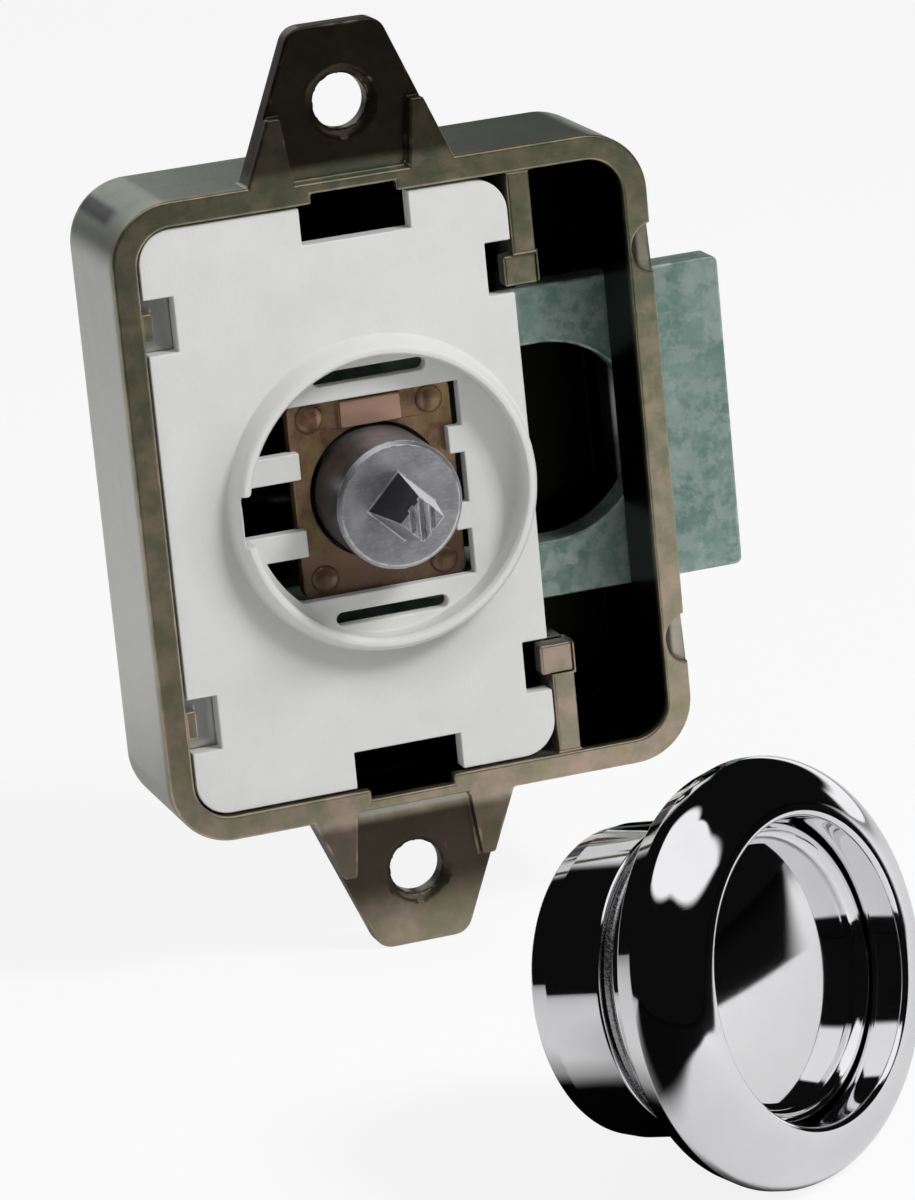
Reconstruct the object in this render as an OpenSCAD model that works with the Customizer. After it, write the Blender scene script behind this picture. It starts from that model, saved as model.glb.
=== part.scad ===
// Push button cabinet lock: die-cast case with a dead bolt, and the loose rosette with its push knob.
// Frame in millimetres: X towards the bolt's throw, Y from the front to the back, Z up.
// The origin lies on the spindle's axis, in the plane of the case's front rim.

/* [Case] */
// Height of the case between its top and bottom walls
case_h = 52; // [50:0.5:58]
// From the spindle's axis to the outside of the rear wall
rear_reach = 20; // [20:0.5:26]
// From the spindle's axis to the outside of the bolt's wall
backset = 24.2; // [23.6:0.2:30]
// Depth of the case behind the rim plane
case_d = 15; // [15:0.25:18]
// Thickness of the case's side walls
wall = 2; // [1.6:0.1:2.2]
// Thickness of the case's back
back_t = 1.8; // [1.4:0.1:1.8]
// Outer corner radius of the case
corner_r = 5; // [4:0.25:7]
// Rounding of the case's back edge
back_edge_r = 2.8; // [1:0.2:3.4]

/* [Ears] */
// Distance between the two screw holes
screw_spacing = 63; // [62:0.5:70]
// Diameter of a screw hole
screw_hole_d = 4.4; // [3.2:0.1:5]
// Thickness of an ear's sunk panel
ear_t = 2; // [1.6:0.1:2.6]
// How far an ear's panel lies behind the rim plane
ear_sink = 0.9; // [0.4:0.1:1.4]
// Width of an ear where it leaves the case
ear_base_w = 17.8; // [16:0.2:19]
// Width of the sunk channel between an ear's raised cheeks
ear_channel_w = 9.3; // [7.6:0.1:9.6]
// Width between an ear's sides at its tip, before the corners are rounded
ear_tip_w = 7.4; // [6.4:0.2:9]
// From a screw hole to the tip of its ear
ear_nose = 6.25; // [5.5:0.05:8]

/* [Cover] */
// How far the cover lies behind the rim plane
cover_sink = 0.4; // [0.2:0.05:0.6]
// Thickness of the cover
cover_t = 1.6; // [1.4:0.05:1.6]
// From the spindle's axis to the cover's edge beside the bolt chamber
cover_reach = 12.7; // [12.5:0.1:13.2]
// Outer diameter of the collar at the cover
collar_base_d = 25.8; // [25.4:0.1:26.4]
// Outer diameter of the collar at its lip
collar_lip_d = 24.8; // [24.4:0.1:25.2]
// Inner diameter of the collar
collar_bore_d = 22.8; // [22.4:0.1:23.2]
// Height of the collar in front of the rim plane
collar_h = 1.65; // [1.2:0.05:3]
// Height of the window in the collar's floor
window_h = 15.9; // [15.6:0.1:16.2]
// From the spindle's axis to the window's straight edge
window_reach = 7.2; // [7:0.1:7.6]

/* [Spindle] */
// Diameter of the spindle
spindle_d = 10.4; // [9.8:0.1:10.6]
// How far the spindle's face stands in front of the rim plane at rest
spindle_out = 4.4; // [3.4:0.1:5.4]
// Length of the faceted nib on the spindle's face
nib_l = 5.4; // [1.5:0.1:7]
// Travel of the spindle when it springs out
pop_travel = 6.4; // [5.6:0.1:6.4]
// Extra travel of the spindle when it is pressed in
press_travel = 1; // [0.6:0.1:1]
// Diameter of the two drive pins
drive_pin_d = 1.8; // [1.4:0.1:1.8]
// Running clearance of the spindle in its bush, on the radius
spindle_play = 0.08; // [0.03:0.01:0.1]

/* [Bolt] */
// Throw of the bolt
bolt_throw = 8; // [7:0.1:8]
// Height of the bolt
bolt_h = 26; // [25:0.2:26]
// Thickness of the bolt's plate
bolt_t = 3; // [2.2:0.1:3]
// Width of the bolt's round-ended window
bolt_window_d = 16.4; // [16.4:0.1:17]
// Clearance of the bolt in its guides
bolt_play = 0.3; // [0.25:0.05:0.4]

/* [Rosette] */
// Diameter of the rosette's flange
flange_d = 30.8; // [28:0.2:34]
// Diameter of the rosette's barrel
barrel_d = 22.7; // [22.5:0.1:23.5]
// From the flange's front edge to the end of the barrel
barrel_l = 13.45; // [13:0.05:16]
// Thickness of the flange's edge
flange_edge = 2.6; // [1.5:0.1:2.8]
// How far the flange draws in towards its back, on the radius
flange_taper = 0.6; // [0:0.1:1]
// Length of the barrel's tapered lead-in
lead_l = 1.6; // [0.6:0.1:2]
// Height of the flange's crest over its front edge
crest_h = 3.2; // [2.6:0.1:4]
// Diameter of the push knob
knob_d = 21.3; // [20.5:0.1:21.4]
// Clearance around the knob's head, on the radius
knob_gap = 0.3; // [0.25:0.05:0.4]

/* [Layout] */
// Rosette's place across the lock, at the middle of its flange
rosette_x = 6.37; // [0:0.5:30]
// Rosette's place in front of the lock
rosette_y = -63.4; // [-90:0.5:-55]
// Turn of the rosette's axis to the bolt's side, in degrees
rosette_turn = 33.6; // [0:1:60]
// Upward tilt of the rosette's axis, in degrees
rosette_tilt = 10.3; // [0:0.5:20]

/* [Hidden] */
$fn = 64;
eps = 0.01;
fit_gap = 0.02;
rest_gap = 0.1;

// Case interior
inner_back = case_d - back_t;
inner_top = case_h / 2 - wall;
inner_left = -rear_reach + wall;
inner_right = backset - wall;
floor_z = -(screw_spacing / 2 + ear_nose);

// Ears: straight sides from root to tip, cheeks beside the channel, and the rim's ridge across its end
ear_root = case_h / 2 - wall / 2;
ear_tip = screw_spacing / 2 + ear_nose;
ear_slope = (ear_base_w - ear_tip_w) / 2 / (ear_tip - ear_root);
ear_slant = norm([1, ear_slope]);
ear_soft = 1.6;
ear_soft_x = ear_tip_w / 2 + ear_soft * (ear_slope - ear_slant);
ear_cheek_end = screw_spacing / 2 - 0.4;
ridge_in = inner_top + 0.4 * wall;
ridge_out = inner_top + 0.85 * wall;
pocket_w = 7;
pocket_d = 6;

// Half-round scoops in the rim, above and below the bolt
scoop_r = 2.05;
scoop_d = 0.8;
scoop_out = 0.35;

// Cover, collar floor and guide plate, from front to back
cover_back = cover_sink + cover_t;
floor_front = cover_sink + 0.4;
floor_back = cover_back - 0.2;
guide_front = floor_back + rest_gap;
guide_t = 1.2;
guide_back = guide_front + guide_t;
guide_w = 13.6;

// Window, tongues and slits in the collar's floor
window_l = collar_bore_d / 2 - 0.6;
key_x = collar_bore_d / 2 + 0.7;
tongue_x = 6.4;
tongue_z = 2.05;
tongue_h = 2.2;
slit_z = window_h / 2 + 1.85;
slit_l = 4.7;
slit_w = 0.55;
notch_w = 9;
notch_h = 3.2;

// Rivets that carry the guide plate on its spacers
rivet_x = 5;
rivet_z = bolt_window_d / 2 - 1.6;
rivet_r = 0.78;
rivet_head_r = 1.15;
spacer_r = 1.25;
guide_top = rivet_z + 1.6;

// Spindle, its spring and its drive pins
spindle_r = spindle_d / 2;
pin_r = drive_pin_d / 2;
pin_y = guide_back + 0.4 + pin_r + pop_travel;
spindle_rear = pin_y + 0.7;
nib_base_r = 2.8;
nib_end_r = 1.8;
nib_groove = 0.4;
bush_r = spindle_r + spindle_play;
bush_out_r = norm([rivet_x, rivet_z]) - spacer_r - 0.23;
bush_back = guide_back + 2.3;
bore_r = 2.2;
bore_front = -1;
spring_wire_r = 0.25;
spring_r = 1.65;
spring_turns = 10;
guide_pin_r = 1.2;

// Heart-shaped track of the push-push catch, in the spindle's left flank
wire_r = 0.4;
wire_y = guide_back + 1;
wire_x = -8;
wire_bend = 0.8;
cam_w = 5.8;
cam_out = 1 - spindle_r;
cam_t = 1.5;
cam_in = cam_out + cam_t;
cam_floor = 0.5;
cam_front = wire_y - press_travel - 1.2;
cam_rear = spindle_rear;
cam_pin_r = 0.5;
cam_pin_z = 1.9;
cam_pin_in = 0.9;
wire_end = cam_in - cam_floor - 0.2;
wire_room = 2.2;
block_front = inner_back - 2.8;

// Bolt in its thrown position
bolt_front = 7.1;
bolt_back = bolt_front + bolt_t;
bolt_top = bolt_h / 2;
bolt_end = backset + bolt_throw;
bolt_tail = inner_left + bolt_throw + 1;
window_r = bolt_window_d / 2;
bolt_nose = 7.7;
window_x = bolt_end - bolt_nose - window_r;
cam_ratio = bolt_throw / pop_travel;
slot_half = pin_r + 0.15;
cheek_out = window_r + 2.2;
pin_end = cheek_out - 0.2;
cheek_l = 3.6;
cheek_step = 5;
rail_z = cheek_out + 0.8;
rail_w = 1.6;
chamber_x = cover_reach + 1.9;
tab_z = 15;
tab_h = 2.35;
tab_w = 1;
ledge_w = tab_w + 2.4;

// Rosette, along its own axis from the flange's front edge
flange_r = flange_d / 2;
barrel_r = barrel_d / 2;
knob_r = knob_d / 2;
mouth_r = knob_r + knob_gap;
crest_soft = 0.4;
lip_r = mouth_r + crest_soft;
crest_r = lip_r + 0.3;
crest_span = flange_r - crest_r;
bull_r = (crest_span * crest_span + crest_h * crest_h) / (2 * crest_h);
shoulder_u = -(press_travel + 1.6);
stem_r = 8;
liner_r = stem_r + 0.6;
neck_wall = 0.3;
knob_top = 0.27;
knob_soft = 0.3;
head_t = 1.57;
face_r = knob_r - 0.95;
face_sink = 0.77;
face_flare = 0.5;
dome_r = 80;
dome_top = knob_top - face_sink + 0.06 + dome_r - sqrt(dome_r * dome_r - face_r * face_r);
clip_t = 0.8;
liner_l = 2.9;
liner_rear = shoulder_u - rest_gap - liner_l;
clip_front = liner_rear - rest_gap - pop_travel;
stem_rear = clip_front - clip_t - 0.4;
insert_rear = stem_rear + 0.25;
insert_wall = 1.7;
insert_r = bush_r + insert_wall;
socket_top = -3;
groove_rear = -7;
groove_w = 1.2;
lead_in = 0.25;
edge_front = flange_edge / 3;
rosette_z = floor_z + flange_r * cos(rosette_tilt) + edge_front * sin(rosette_tilt);

// Flat outline in X and Z, made solid from depth y0 to depth y1
module slab(y0, y1) {
    translate([0, y1, 0]) rotate([90, 0, 0]) linear_extrude(height = y1 - y0) children();
}

// Round bar along Y
module rod(x, z, r, y0, y1) {
    translate([x, y0, z]) rotate([-90, 0, 0]) cylinder(r = r, h = y1 - y0);
}

// Box from its two corners
module box(x0, x1, y0, y1, z0, z1) {
    translate([x0, y0, z0]) cube([x1 - x0, y1 - y0, z1 - z0]);
}

// Upright rectangle with a rounding of its own at the left and at the right
module round_rect(x0, x1, z0, z1, rl, rr) {
    translate([x0 + rl, z0]) square([x1 - x0 - rl - rr, z1 - z0]);
    translate([x0, z0 + rl]) square([rl + eps, z1 - z0 - 2 * rl]);
    translate([x1 - rr - eps, z0 + rr]) square([rr + eps, z1 - z0 - 2 * rr]);
    for (z = [z0 + rl, z1 - rl]) translate([x0 + rl, z]) circle(r = rl);
    for (z = [z0 + rr, z1 - rr]) translate([x1 - rr, z]) circle(r = rr);
}

// Slot with round ends along X
module long_hole(half_l, half_w) {
    square([2 * (half_l - half_w), 2 * half_w], center = true);
    for (s = [-1, 1]) translate([s * (half_l - half_w), 0]) circle(r = half_w);
}

// Both halves of a form that is mirrored top to bottom
module both() {
    children();
    mirror([0, 0, 1]) children();
}

// Section through the case's border, with its rounded back edge
module border() {
    square([corner_r, case_d - back_edge_r]);
    square([corner_r - back_edge_r, case_d]);
    intersection() {
        translate([corner_r - back_edge_r, case_d - back_edge_r]) circle(r = back_edge_r);
        square([corner_r, case_d]);
    }
}

module case_outer() {
    x0 = -rear_reach + corner_r;
    x1 = backset - corner_r;
    z1 = case_h / 2 - corner_r;
    box(x0, x1, 0, case_d, -z1, z1);
    translate([x1, 0, -z1]) linear_extrude(height = 2 * z1) border();
    translate([x0, 0, -z1]) mirror([1, 0, 0]) linear_extrude(height = 2 * z1) border();
    both() translate([x1, 0, z1]) rotate([0, -90, 0]) linear_extrude(height = x1 - x0) border();
    both() translate([x1, 0, z1]) rotate([0, -90, 0]) rotate([-90, 0, 0])
        rotate_extrude(angle = 90) border();
    both() translate([x0, 0, z1]) rotate([0, 180, 0]) rotate([-90, 0, 0])
        rotate_extrude(angle = 90) border();
}

// One ear's outline: straight sides that draw in to a blunt, rounded tip
module ear_outline() {
    soft_z = ear_tip - ear_soft;
    side_x = ear_soft_x + ear_soft / ear_slant;
    side_z = soft_z + ear_soft * ear_slope / ear_slant;
    polygon([[-ear_base_w / 2, ear_root], [ear_base_w / 2, ear_root], [side_x, side_z], [ear_soft_x, ear_tip],
        [-ear_soft_x, ear_tip], [-side_x, side_z]]);
    for (s = [-1, 1]) translate([s * ear_soft_x, soft_z]) circle(r = ear_soft);
}

// Raised cheek beside an ear's channel, flush with the rim
module ear_gusset() {
    end_w = ear_tip_w / 2 + ear_slope * (ear_tip - ear_cheek_end);
    polygon([[ear_channel_w / 2, ear_root], [ear_base_w / 2, ear_root], [end_w, ear_cheek_end],
        [end_w - 1.1, ear_cheek_end]]);
}

module ear() {
    slab(ear_sink, ear_sink + ear_t) ear_outline();
    slab(0, ear_sink + eps) ear_gusset();
    slab(0, ear_sink + eps) mirror([1, 0]) ear_gusset();
}

module ear_cuts() {
    z = screw_spacing / 2;
    rod(0, z, screw_hole_d / 2, -1, ear_sink + ear_t + 1);
    translate([0, ear_sink - eps, z]) rotate([-90, 0, 0])
        cylinder(r1 = screw_hole_d / 2 + 0.85, r2 = screw_hole_d / 2, h = 0.5);
    box(-ear_channel_w / 2, ear_channel_w / 2, -1, ear_sink, ridge_out, z);
    box(-pocket_w / 2, pocket_w / 2, -1, pocket_d, inner_top - eps, ridge_in);
}

// Wall that parts the works from the bolt chamber, with the peg that locates the cover
module partition() {
    box(cover_reach, chamber_x, cover_sink, inner_back + eps, bolt_top + 1.9, inner_top + eps);
    box(cover_reach, chamber_x, bolt_front - 1, inner_back + eps, bolt_top + bolt_play, bolt_top + 2);
    box(cover_reach - 0.9, chamber_x - 0.1, cover_sink - 0.15, cover_back, bolt_top + 1.85, bolt_top + 4.3);
}

// Rail behind the bolt, tab beside the cover, ledge behind its notch and posts under the cover
module case_works() {
    both() partition();
    both() box(inner_left - eps, inner_right + eps, bolt_back + 0.25, inner_back + eps,
        rail_z, rail_z + rail_w);
    both() box(inner_left - eps, inner_left + tab_w, cover_sink + 0.2, cover_back + 2 * rest_gap,
        tab_z, tab_z + tab_h);
    both() box(inner_left - eps, inner_left + ledge_w, cover_back + rest_gap, inner_back + eps,
        tab_z - 1.3, tab_z + tab_h + 1.5);
    both() for (x = [inner_left + 3, cover_reach - 3])
        rod(x, inner_top - 2.8, 1.8, cover_back, inner_back + eps);
}

module case_cavity() {
    slab(-1, inner_back) round_rect(inner_left, inner_right, -inner_top, inner_top,
        corner_r - wall, corner_r - wall);
}

module case_cuts() {
    both() ear_cuts();
    box(inner_right - 1, backset + 1, bolt_front - bolt_play, bolt_back + bolt_play,
        -bolt_top - bolt_play, bolt_top + bolt_play);
    both() rod(backset + scoop_out, bolt_top + 3.2, scoop_r, -1, scoop_d);
    for (x = [-rivet_x, rivet_x]) both() rod(x, rivet_z, rivet_r + fit_gap, inner_back - 1, case_d + 1);
    rod(0, 0, guide_pin_r + fit_gap, inner_back - 1, inner_back + 1);
    rod(wire_x, 0, wire_r + fit_gap, inner_back - 1, inner_back + 1);
}

module lock_case() {
    color([0.43, 0.37, 0.27]) union() {
        difference() {
            union() {
                case_outer();
                both() ear();
            }
            case_cavity();
            case_cuts();
        }
        case_works();
    }
}

// Outline of the cover with its locating notches
module cover_outline() {
    difference() {
        round_rect(inner_left + 0.25, cover_reach - 0.15, -inner_top + 0.2, inner_top - 0.2,
            corner_r - wall - 0.3, 2.8);
        for (s = [-1, 1]) scale([1, s]) {
            translate([-notch_w / 2, inner_top - notch_h]) square([notch_w, 2 * notch_h]);
            translate([inner_left, tab_z - 1]) square([tab_w + 1.7, tab_h + 2.1]);
            translate([cover_reach - 2.3, bolt_top + 1.3]) square([3, 4.3]);
        }
    }
}

module collar_form() {
    translate([0, cover_sink + 0.3, 0]) rotate([90, 0, 0]) {
        cylinder(r1 = collar_base_d / 2, r2 = collar_lip_d / 2, h = collar_h + cover_sink - 0.1);
        translate([0, 0, collar_h + cover_sink - 0.1 - eps])
            cylinder(r1 = collar_lip_d / 2, r2 = collar_lip_d / 2 - 0.35, h = 0.4 + eps);
    }
}

// Opening in the collar's floor, with the tongues that reach in over the guide plate
module floor_window() {
    difference() {
        intersection() {
            circle(r = window_l);
            translate([-window_l, -window_h / 2]) square([window_l + window_reach, window_h]);
        }
        for (s = [-1, 1]) scale([1, s]) {
            translate([-window_l - 1, tongue_z]) square([window_l + 1 - tongue_x, tongue_h]);
            translate([window_reach - 1.2, tongue_z]) square([3, tongue_h]);
        }
    }
}

module cover_plate() {
    color([0.86, 0.86, 0.83]) difference() {
        union() {
            slab(cover_sink, cover_back) cover_outline();
            collar_form();
        }
        rod(0, 0, collar_bore_d / 2, -collar_h - 2, floor_front);
        translate([0, -collar_h - eps, 0]) rotate([-90, 0, 0])
            cylinder(r1 = collar_bore_d / 2 + 0.25, r2 = collar_bore_d / 2, h = 0.4);
        slab(-collar_h - 2, cover_back + 1) translate([-key_x, -tongue_z])
            square([key_x - window_l + 1, 2 * tongue_z]);
        slab(-1, cover_back + 1) floor_window();
        for (z = [-slit_z, slit_z]) slab(-1, cover_back + 1) translate([0, z]) long_hole(slit_l, slit_w);
        box(-guide_w / 2 - 0.2, guide_w / 2 + 0.2, floor_back, cover_back + 1,
            -guide_top - 0.2, guide_top + 0.2);
    }
}

module guide_plate() {
    color([0.58, 0.4, 0.28]) difference() {
        union() {
            slab(guide_front, guide_back) round_rect(-guide_w / 2, guide_w / 2, -guide_top, guide_top, 1, 1);
            box(-2.5, 2.5, guide_front - 0.5, guide_front + eps, spindle_r + 0.3, window_h / 2 - 0.3);
        }
        rod(0, 0, spindle_r + 0.3, guide_front - 1, guide_back + 1);
        for (x = [-rivet_x, rivet_x]) both()
            rod(x, rivet_z, rivet_r + fit_gap, guide_front - 1, guide_back + 1);
    }
}

module guide_rivets() {
    color([0.55, 0.36, 0.25]) for (x = [-rivet_x, rivet_x]) both() translate([x, 0, rivet_z]) {
        rod(0, 0, rivet_r, guide_front - eps, case_d);
        rod(0, 0, rivet_head_r, guide_front - 0.3, guide_front);
        translate([0, guide_front - 0.3 + eps, 0]) rotate([90, 0, 0])
            cylinder(r1 = rivet_head_r, r2 = rivet_head_r - 0.55, h = 0.25);
    }
}

module guide_spacers() {
    color([0.62, 0.62, 0.6]) for (x = [-rivet_x, rivet_x]) both() difference() {
        rod(x, rivet_z, spacer_r, guide_back, inner_back);
        rod(x, rivet_z, rivet_r + fit_gap, guide_back - 1, inner_back + 1);
    }
}

// Bush with gaps for the drive pins and for the catch wire
module guide_bush() {
    color([0.08, 0.08, 0.08]) difference() {
        rod(0, 0, bush_out_r, guide_back, bush_back);
        rod(0, 0, bush_r, guide_back - 1, bush_back + 1);
        box(-pin_r - 0.3, pin_r + 0.3, guide_back + 0.3, bush_back + 1, -bush_out_r - 1, bush_out_r + 1);
        box(-bush_out_r - 1, 0, guide_back + 0.3, bush_back + 1, -wire_room, wire_room);
    }
}

// Faceted nib on the spindle's face, with upright grooves in its end, which the knob grips
module spindle_nib() {
    nib_end = -spindle_out - nib_l;
    difference() {
        translate([0, -spindle_out + eps, 0]) rotate([90, 0, 0])
            cylinder(r1 = nib_base_r, r2 = nib_end_r, h = nib_l + eps, $fn = 4);
        for (x = [-2, 0, 2] * nib_groove)
            box(x - nib_groove / 2, x + nib_groove / 2, nib_end - 1, nib_end + nib_groove,
                -nib_base_r, nib_base_r);
    }
}

module spindle() {
    color([0.62, 0.63, 0.64]) union() {
        difference() {
            union() {
                rod(0, 0, spindle_r, -spindle_out + 0.4, spindle_rear);
                translate([0, -spindle_out + 0.4 + eps, 0]) rotate([90, 0, 0])
                    cylinder(r1 = spindle_r, r2 = spindle_r - 0.35, h = 0.4 + eps);
            }
            rod(0, 0, bore_r, bore_front, spindle_rear + 1);
            box(-spindle_r - 1, cam_in, cam_front - 0.05, spindle_rear + 1,
                -cam_w / 2 - 0.05, cam_w / 2 + 0.05);
            both() translate([0, pin_y, 0]) cylinder(r = pin_r + fit_gap, h = spindle_r + 1);
            for (z = [-cam_pin_z, cam_pin_z]) translate([cam_in - 1, cam_rear - 1, z]) rotate([0, 90, 0])
                cylinder(r = cam_pin_r + fit_gap, h = 1 + cam_pin_in + fit_gap);
        }
        spindle_nib();
    }
}

module drive_pins() {
    color([0.7, 0.71, 0.72]) both() translate([0, pin_y, bore_r + 0.7])
        cylinder(r = pin_r, h = pin_end - bore_r - 0.7);
}

// Closed path of the catch: out on one side of the heart, back on the other
module heart_pocket() {
    y = wire_y;
    out = wire_y + pop_travel;
    polygon([[y - press_travel - 0.6, -1.6], [y - press_travel - 0.6, 1.6], [y + 0.1, 2.3], [y + 3.4, 2.3],
        [out - 0.9, 0.65], [out + 0.5, 0.65], [out + 0.5, -0.65], [out - 0.9, -0.65], [y + 3.4, -2.3],
        [y + 0.1, -2.3]]);
}

module heart_island() {
    y = wire_y;
    polygon([[y + 0.65, 0], [y + 0.25, 0.75], [y + 0.8, 1.15], [y + 2.9, 0.75], [y + 4.1, 0],
        [y + 2.9, -0.75], [y + 0.8, -1.15], [y + 0.25, -0.75]]);
}

// Outline in Y and Z, made solid from x0 to x1
module flank(x0, x1) {
    translate([x0, 0, 0]) rotate([90, 0, 90]) linear_extrude(height = x1 - x0) children();
}

module heart_cam() {
    color([0.5, 0.5, 0.5]) difference() {
        flank(cam_out, cam_in) translate([cam_front, -cam_w / 2]) square([cam_rear - cam_front, cam_w]);
        difference() {
            flank(cam_out - 1, cam_in - cam_floor) heart_pocket();
            flank(cam_out - 2, cam_in) heart_island();
        }
        for (z = [-cam_pin_z, cam_pin_z]) translate([cam_out - 1, cam_rear - 1, z]) rotate([0, 90, 0])
            cylinder(r = cam_pin_r + fit_gap, h = cam_t + 2);
    }
}

module cam_pins() {
    color([0.72, 0.72, 0.72]) for (z = [-cam_pin_z, cam_pin_z]) translate([cam_out, cam_rear - 1, z])
        rotate([0, 90, 0]) cylinder(r = cam_pin_r, h = cam_t + cam_pin_in);
}

module catch_wire() {
    color([0.75, 0.75, 0.75]) union() {
        rod(wire_x, 0, wire_r, wire_y + wire_bend, inner_back + 0.8);
        translate([wire_x + wire_bend, wire_y + wire_bend, 0]) rotate([0, 0, 180])
            rotate_extrude(angle = 90) translate([wire_bend, 0]) circle(r = wire_r);
        translate([wire_x + wire_bend, wire_y, 0]) rotate([0, 90, 0])
            cylinder(r = wire_r, h = wire_end - wire_x - wire_bend);
    }
}

module wire_block() {
    color([0.2, 0.2, 0.2]) difference() {
        box(wire_x - 1.6, wire_x + 1.2, block_front, inner_back, -1.6, 1.6);
        rod(wire_x, 0, wire_r + fit_gap, block_front - 1, inner_back + 1);
    }
}

// Compression spring: one unbroken tube that winds along Y
spring_front = bore_front + rest_gap + spring_wire_r;
spring_back = inner_back - rest_gap - spring_wire_r;
spring_rings = spring_turns * 8;
spring_path = [for (i = [0:spring_rings]) let (a = 360 * i / 8)
    [spring_r * cos(a), spring_front + (spring_back - spring_front) * i / spring_rings, spring_r * sin(a)]];
spring_points = [for (i = [0:spring_rings], k = [0:5]) let (a = 360 * i / 8, b = 60 * k)
    [(spring_r + spring_wire_r * cos(b)) * cos(a), spring_path[i][1] + spring_wire_r * sin(b),
    (spring_r + spring_wire_r * cos(b)) * sin(a)]];
spring_sides = [for (i = [0:spring_rings - 1], k = [0:5], t = [0, 1]) let (n = (k + 1) % 6)
    t == 0 ? [6 * i + k, 6 * i + n, 6 * i + 6 + k] : [6 * i + n, 6 * i + 6 + n, 6 * i + 6 + k]];
spring_start = [for (k = [1:4]) [0, k + 1, k]];
spring_stop = [for (k = [1:4]) [6 * spring_rings, 6 * spring_rings + k, 6 * spring_rings + k + 1]];
spring_self_gap = min([for (i = [0:spring_rings], j = [i + 5:1:spring_rings])
    norm(spring_path[i] - spring_path[j])]) - 2 * spring_wire_r;
echo(spring_self_gap = spring_self_gap);

module spindle_spring() {
    color([0.66, 0.66, 0.68]) polyhedron(points = spring_points,
        faces = concat(spring_start, spring_sides, spring_stop));
}

module spring_guide_pin() {
    color([0.6, 0.6, 0.6]) rod(0, 0, guide_pin_r, 1.5, inner_back + 0.9);
}

// Slanted path of the drive pin through the bolt, open at both ends
module pin_path() {
    run = atan2(-1, cam_ratio);
    reach = bolt_throw + case_d;
    translate([0, pin_y, 0]) rotate([0, 0, run]) translate([-reach, -slot_half, window_r - 0.5])
        cube([2 * reach, 2 * slot_half, cheek_out - window_r + 0.6]);
}

// Cam cheeks that stand on the bolt's legs and take the drive pin between them
module cam_cheek() {
    far = cam_ratio * (pop_travel + 2.1);
    front = pin_y - pop_travel - 0.7;
    translate([0, 0, window_r]) linear_extrude(height = cheek_out - window_r)
        polygon([[-cheek_l, inner_back - 0.5], [-cheek_l, bolt_front - 0.9], [cheek_step, front],
            [far, front], [far, bolt_front + 0.9], [2.5, inner_back - 0.5]]);
}

module bolt() {
    color([0.45, 0.57, 0.54]) difference() {
        union() {
            slab(bolt_front, bolt_back) difference() {
                round_rect(bolt_tail, bolt_end, -bolt_top, bolt_top, 0.6, 0.6);
                translate([window_x, 0]) circle(r = window_r);
                translate([bolt_tail - 2, -window_r]) square([window_x - bolt_tail + 2, 2 * window_r]);
            }
            both() cam_cheek();
        }
        both() pin_path();
    }
}

// Places a form that is made along the rosette's own axis
module at_rosette() {
    translate([rosette_x, rosette_y, rosette_z]) rotate([90 - rosette_tilt, 0, rosette_turn]) children();
}

module strip(r0, r1, u0, u1) {
    translate([r0, u0]) square([r1 - r0, u1 - u0]);
}

// Barrel with its lead-in, tapered flange edge and bull-nosed front, before they are hollowed
module rosette_outside() {
    strip(0, barrel_r, lead_l - barrel_l, 0);
    polygon([[0, -barrel_l], [barrel_r - lead_in, -barrel_l], [barrel_r, lead_l - barrel_l],
        [0, lead_l - barrel_l]]);
    strip(0, mouth_r + neck_wall, shoulder_u - 0.8, 0);
    polygon([[0, -flange_edge], [flange_r - flange_taper, -flange_edge], [flange_r, -edge_front],
        [flange_r, 0], [0, 0]]);
    strip(0, crest_r, 0, crest_h);
    intersection() {
        translate([crest_r, crest_h - bull_r]) circle(r = bull_r);
        strip(crest_r, flange_r, 0, crest_h);
    }
}

module rosette_profile() {
    difference() {
        rosette_outside();
        strip(0, mouth_r, shoulder_u, crest_h - crest_soft);
        difference() {
            strip(0, lip_r, crest_h - crest_soft, crest_h + 1);
            translate([lip_r, crest_h - crest_soft]) circle(r = crest_soft);
        }
        strip(0, liner_r, -barrel_l - 1, shoulder_u);
        strip(barrel_r - 0.8, barrel_r + 1, groove_rear, groove_rear + groove_w);
    }
}

module rosette() {
    color([0.78, 0.78, 0.8]) at_rosette() rotate_extrude() rosette_profile();
}

module rosette_ring() {
    color([0.55, 0.55, 0.57]) at_rosette() rotate_extrude()
        strip(barrel_r - 0.8 + fit_gap, barrel_r - 0.2, groove_rear + 0.2, groove_rear + groove_w - 0.2);
}

module rosette_liner() {
    color([0.1, 0.1, 0.1]) at_rosette() rotate_extrude()
        strip(stem_r + 0.06, liner_r - fit_gap, liner_rear, shoulder_u - 0.1);
}

// Sunk, slightly domed face of the knob inside its raised edge
module knob_face_cut() {
    floor_u = knob_top - face_sink;
    difference() {
        polygon([[0, floor_u], [face_r, floor_u], [face_r + face_flare, knob_top],
            [face_r + face_flare, knob_top + 1], [0, knob_top + 1]]);
        translate([0, dome_top - dome_r]) circle(r = dome_r, $fn = 720);
    }
}

module knob_profile() {
    difference() {
        union() {
            strip(0, knob_r - knob_soft, knob_top - head_t, knob_top);
            strip(0, knob_r, knob_top - head_t, knob_top - knob_soft);
            translate([knob_r - knob_soft, knob_top - knob_soft]) circle(r = knob_soft);
            strip(0, stem_r, stem_rear, knob_top - head_t + eps);
        }
        knob_face_cut();
        strip(0, insert_r, stem_rear - 1, socket_top);
        strip(stem_r - 0.5, stem_r + 1, clip_front - clip_t - 0.02, clip_front + 0.02);
    }
}

module push_knob() {
    color([0.8, 0.8, 0.82]) at_rosette() rotate_extrude() knob_profile();
}

module knob_insert() {
    color([0.12, 0.12, 0.12]) at_rosette() rotate_extrude()
        strip(bush_r, insert_r - fit_gap, insert_rear, socket_top);
}

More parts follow.
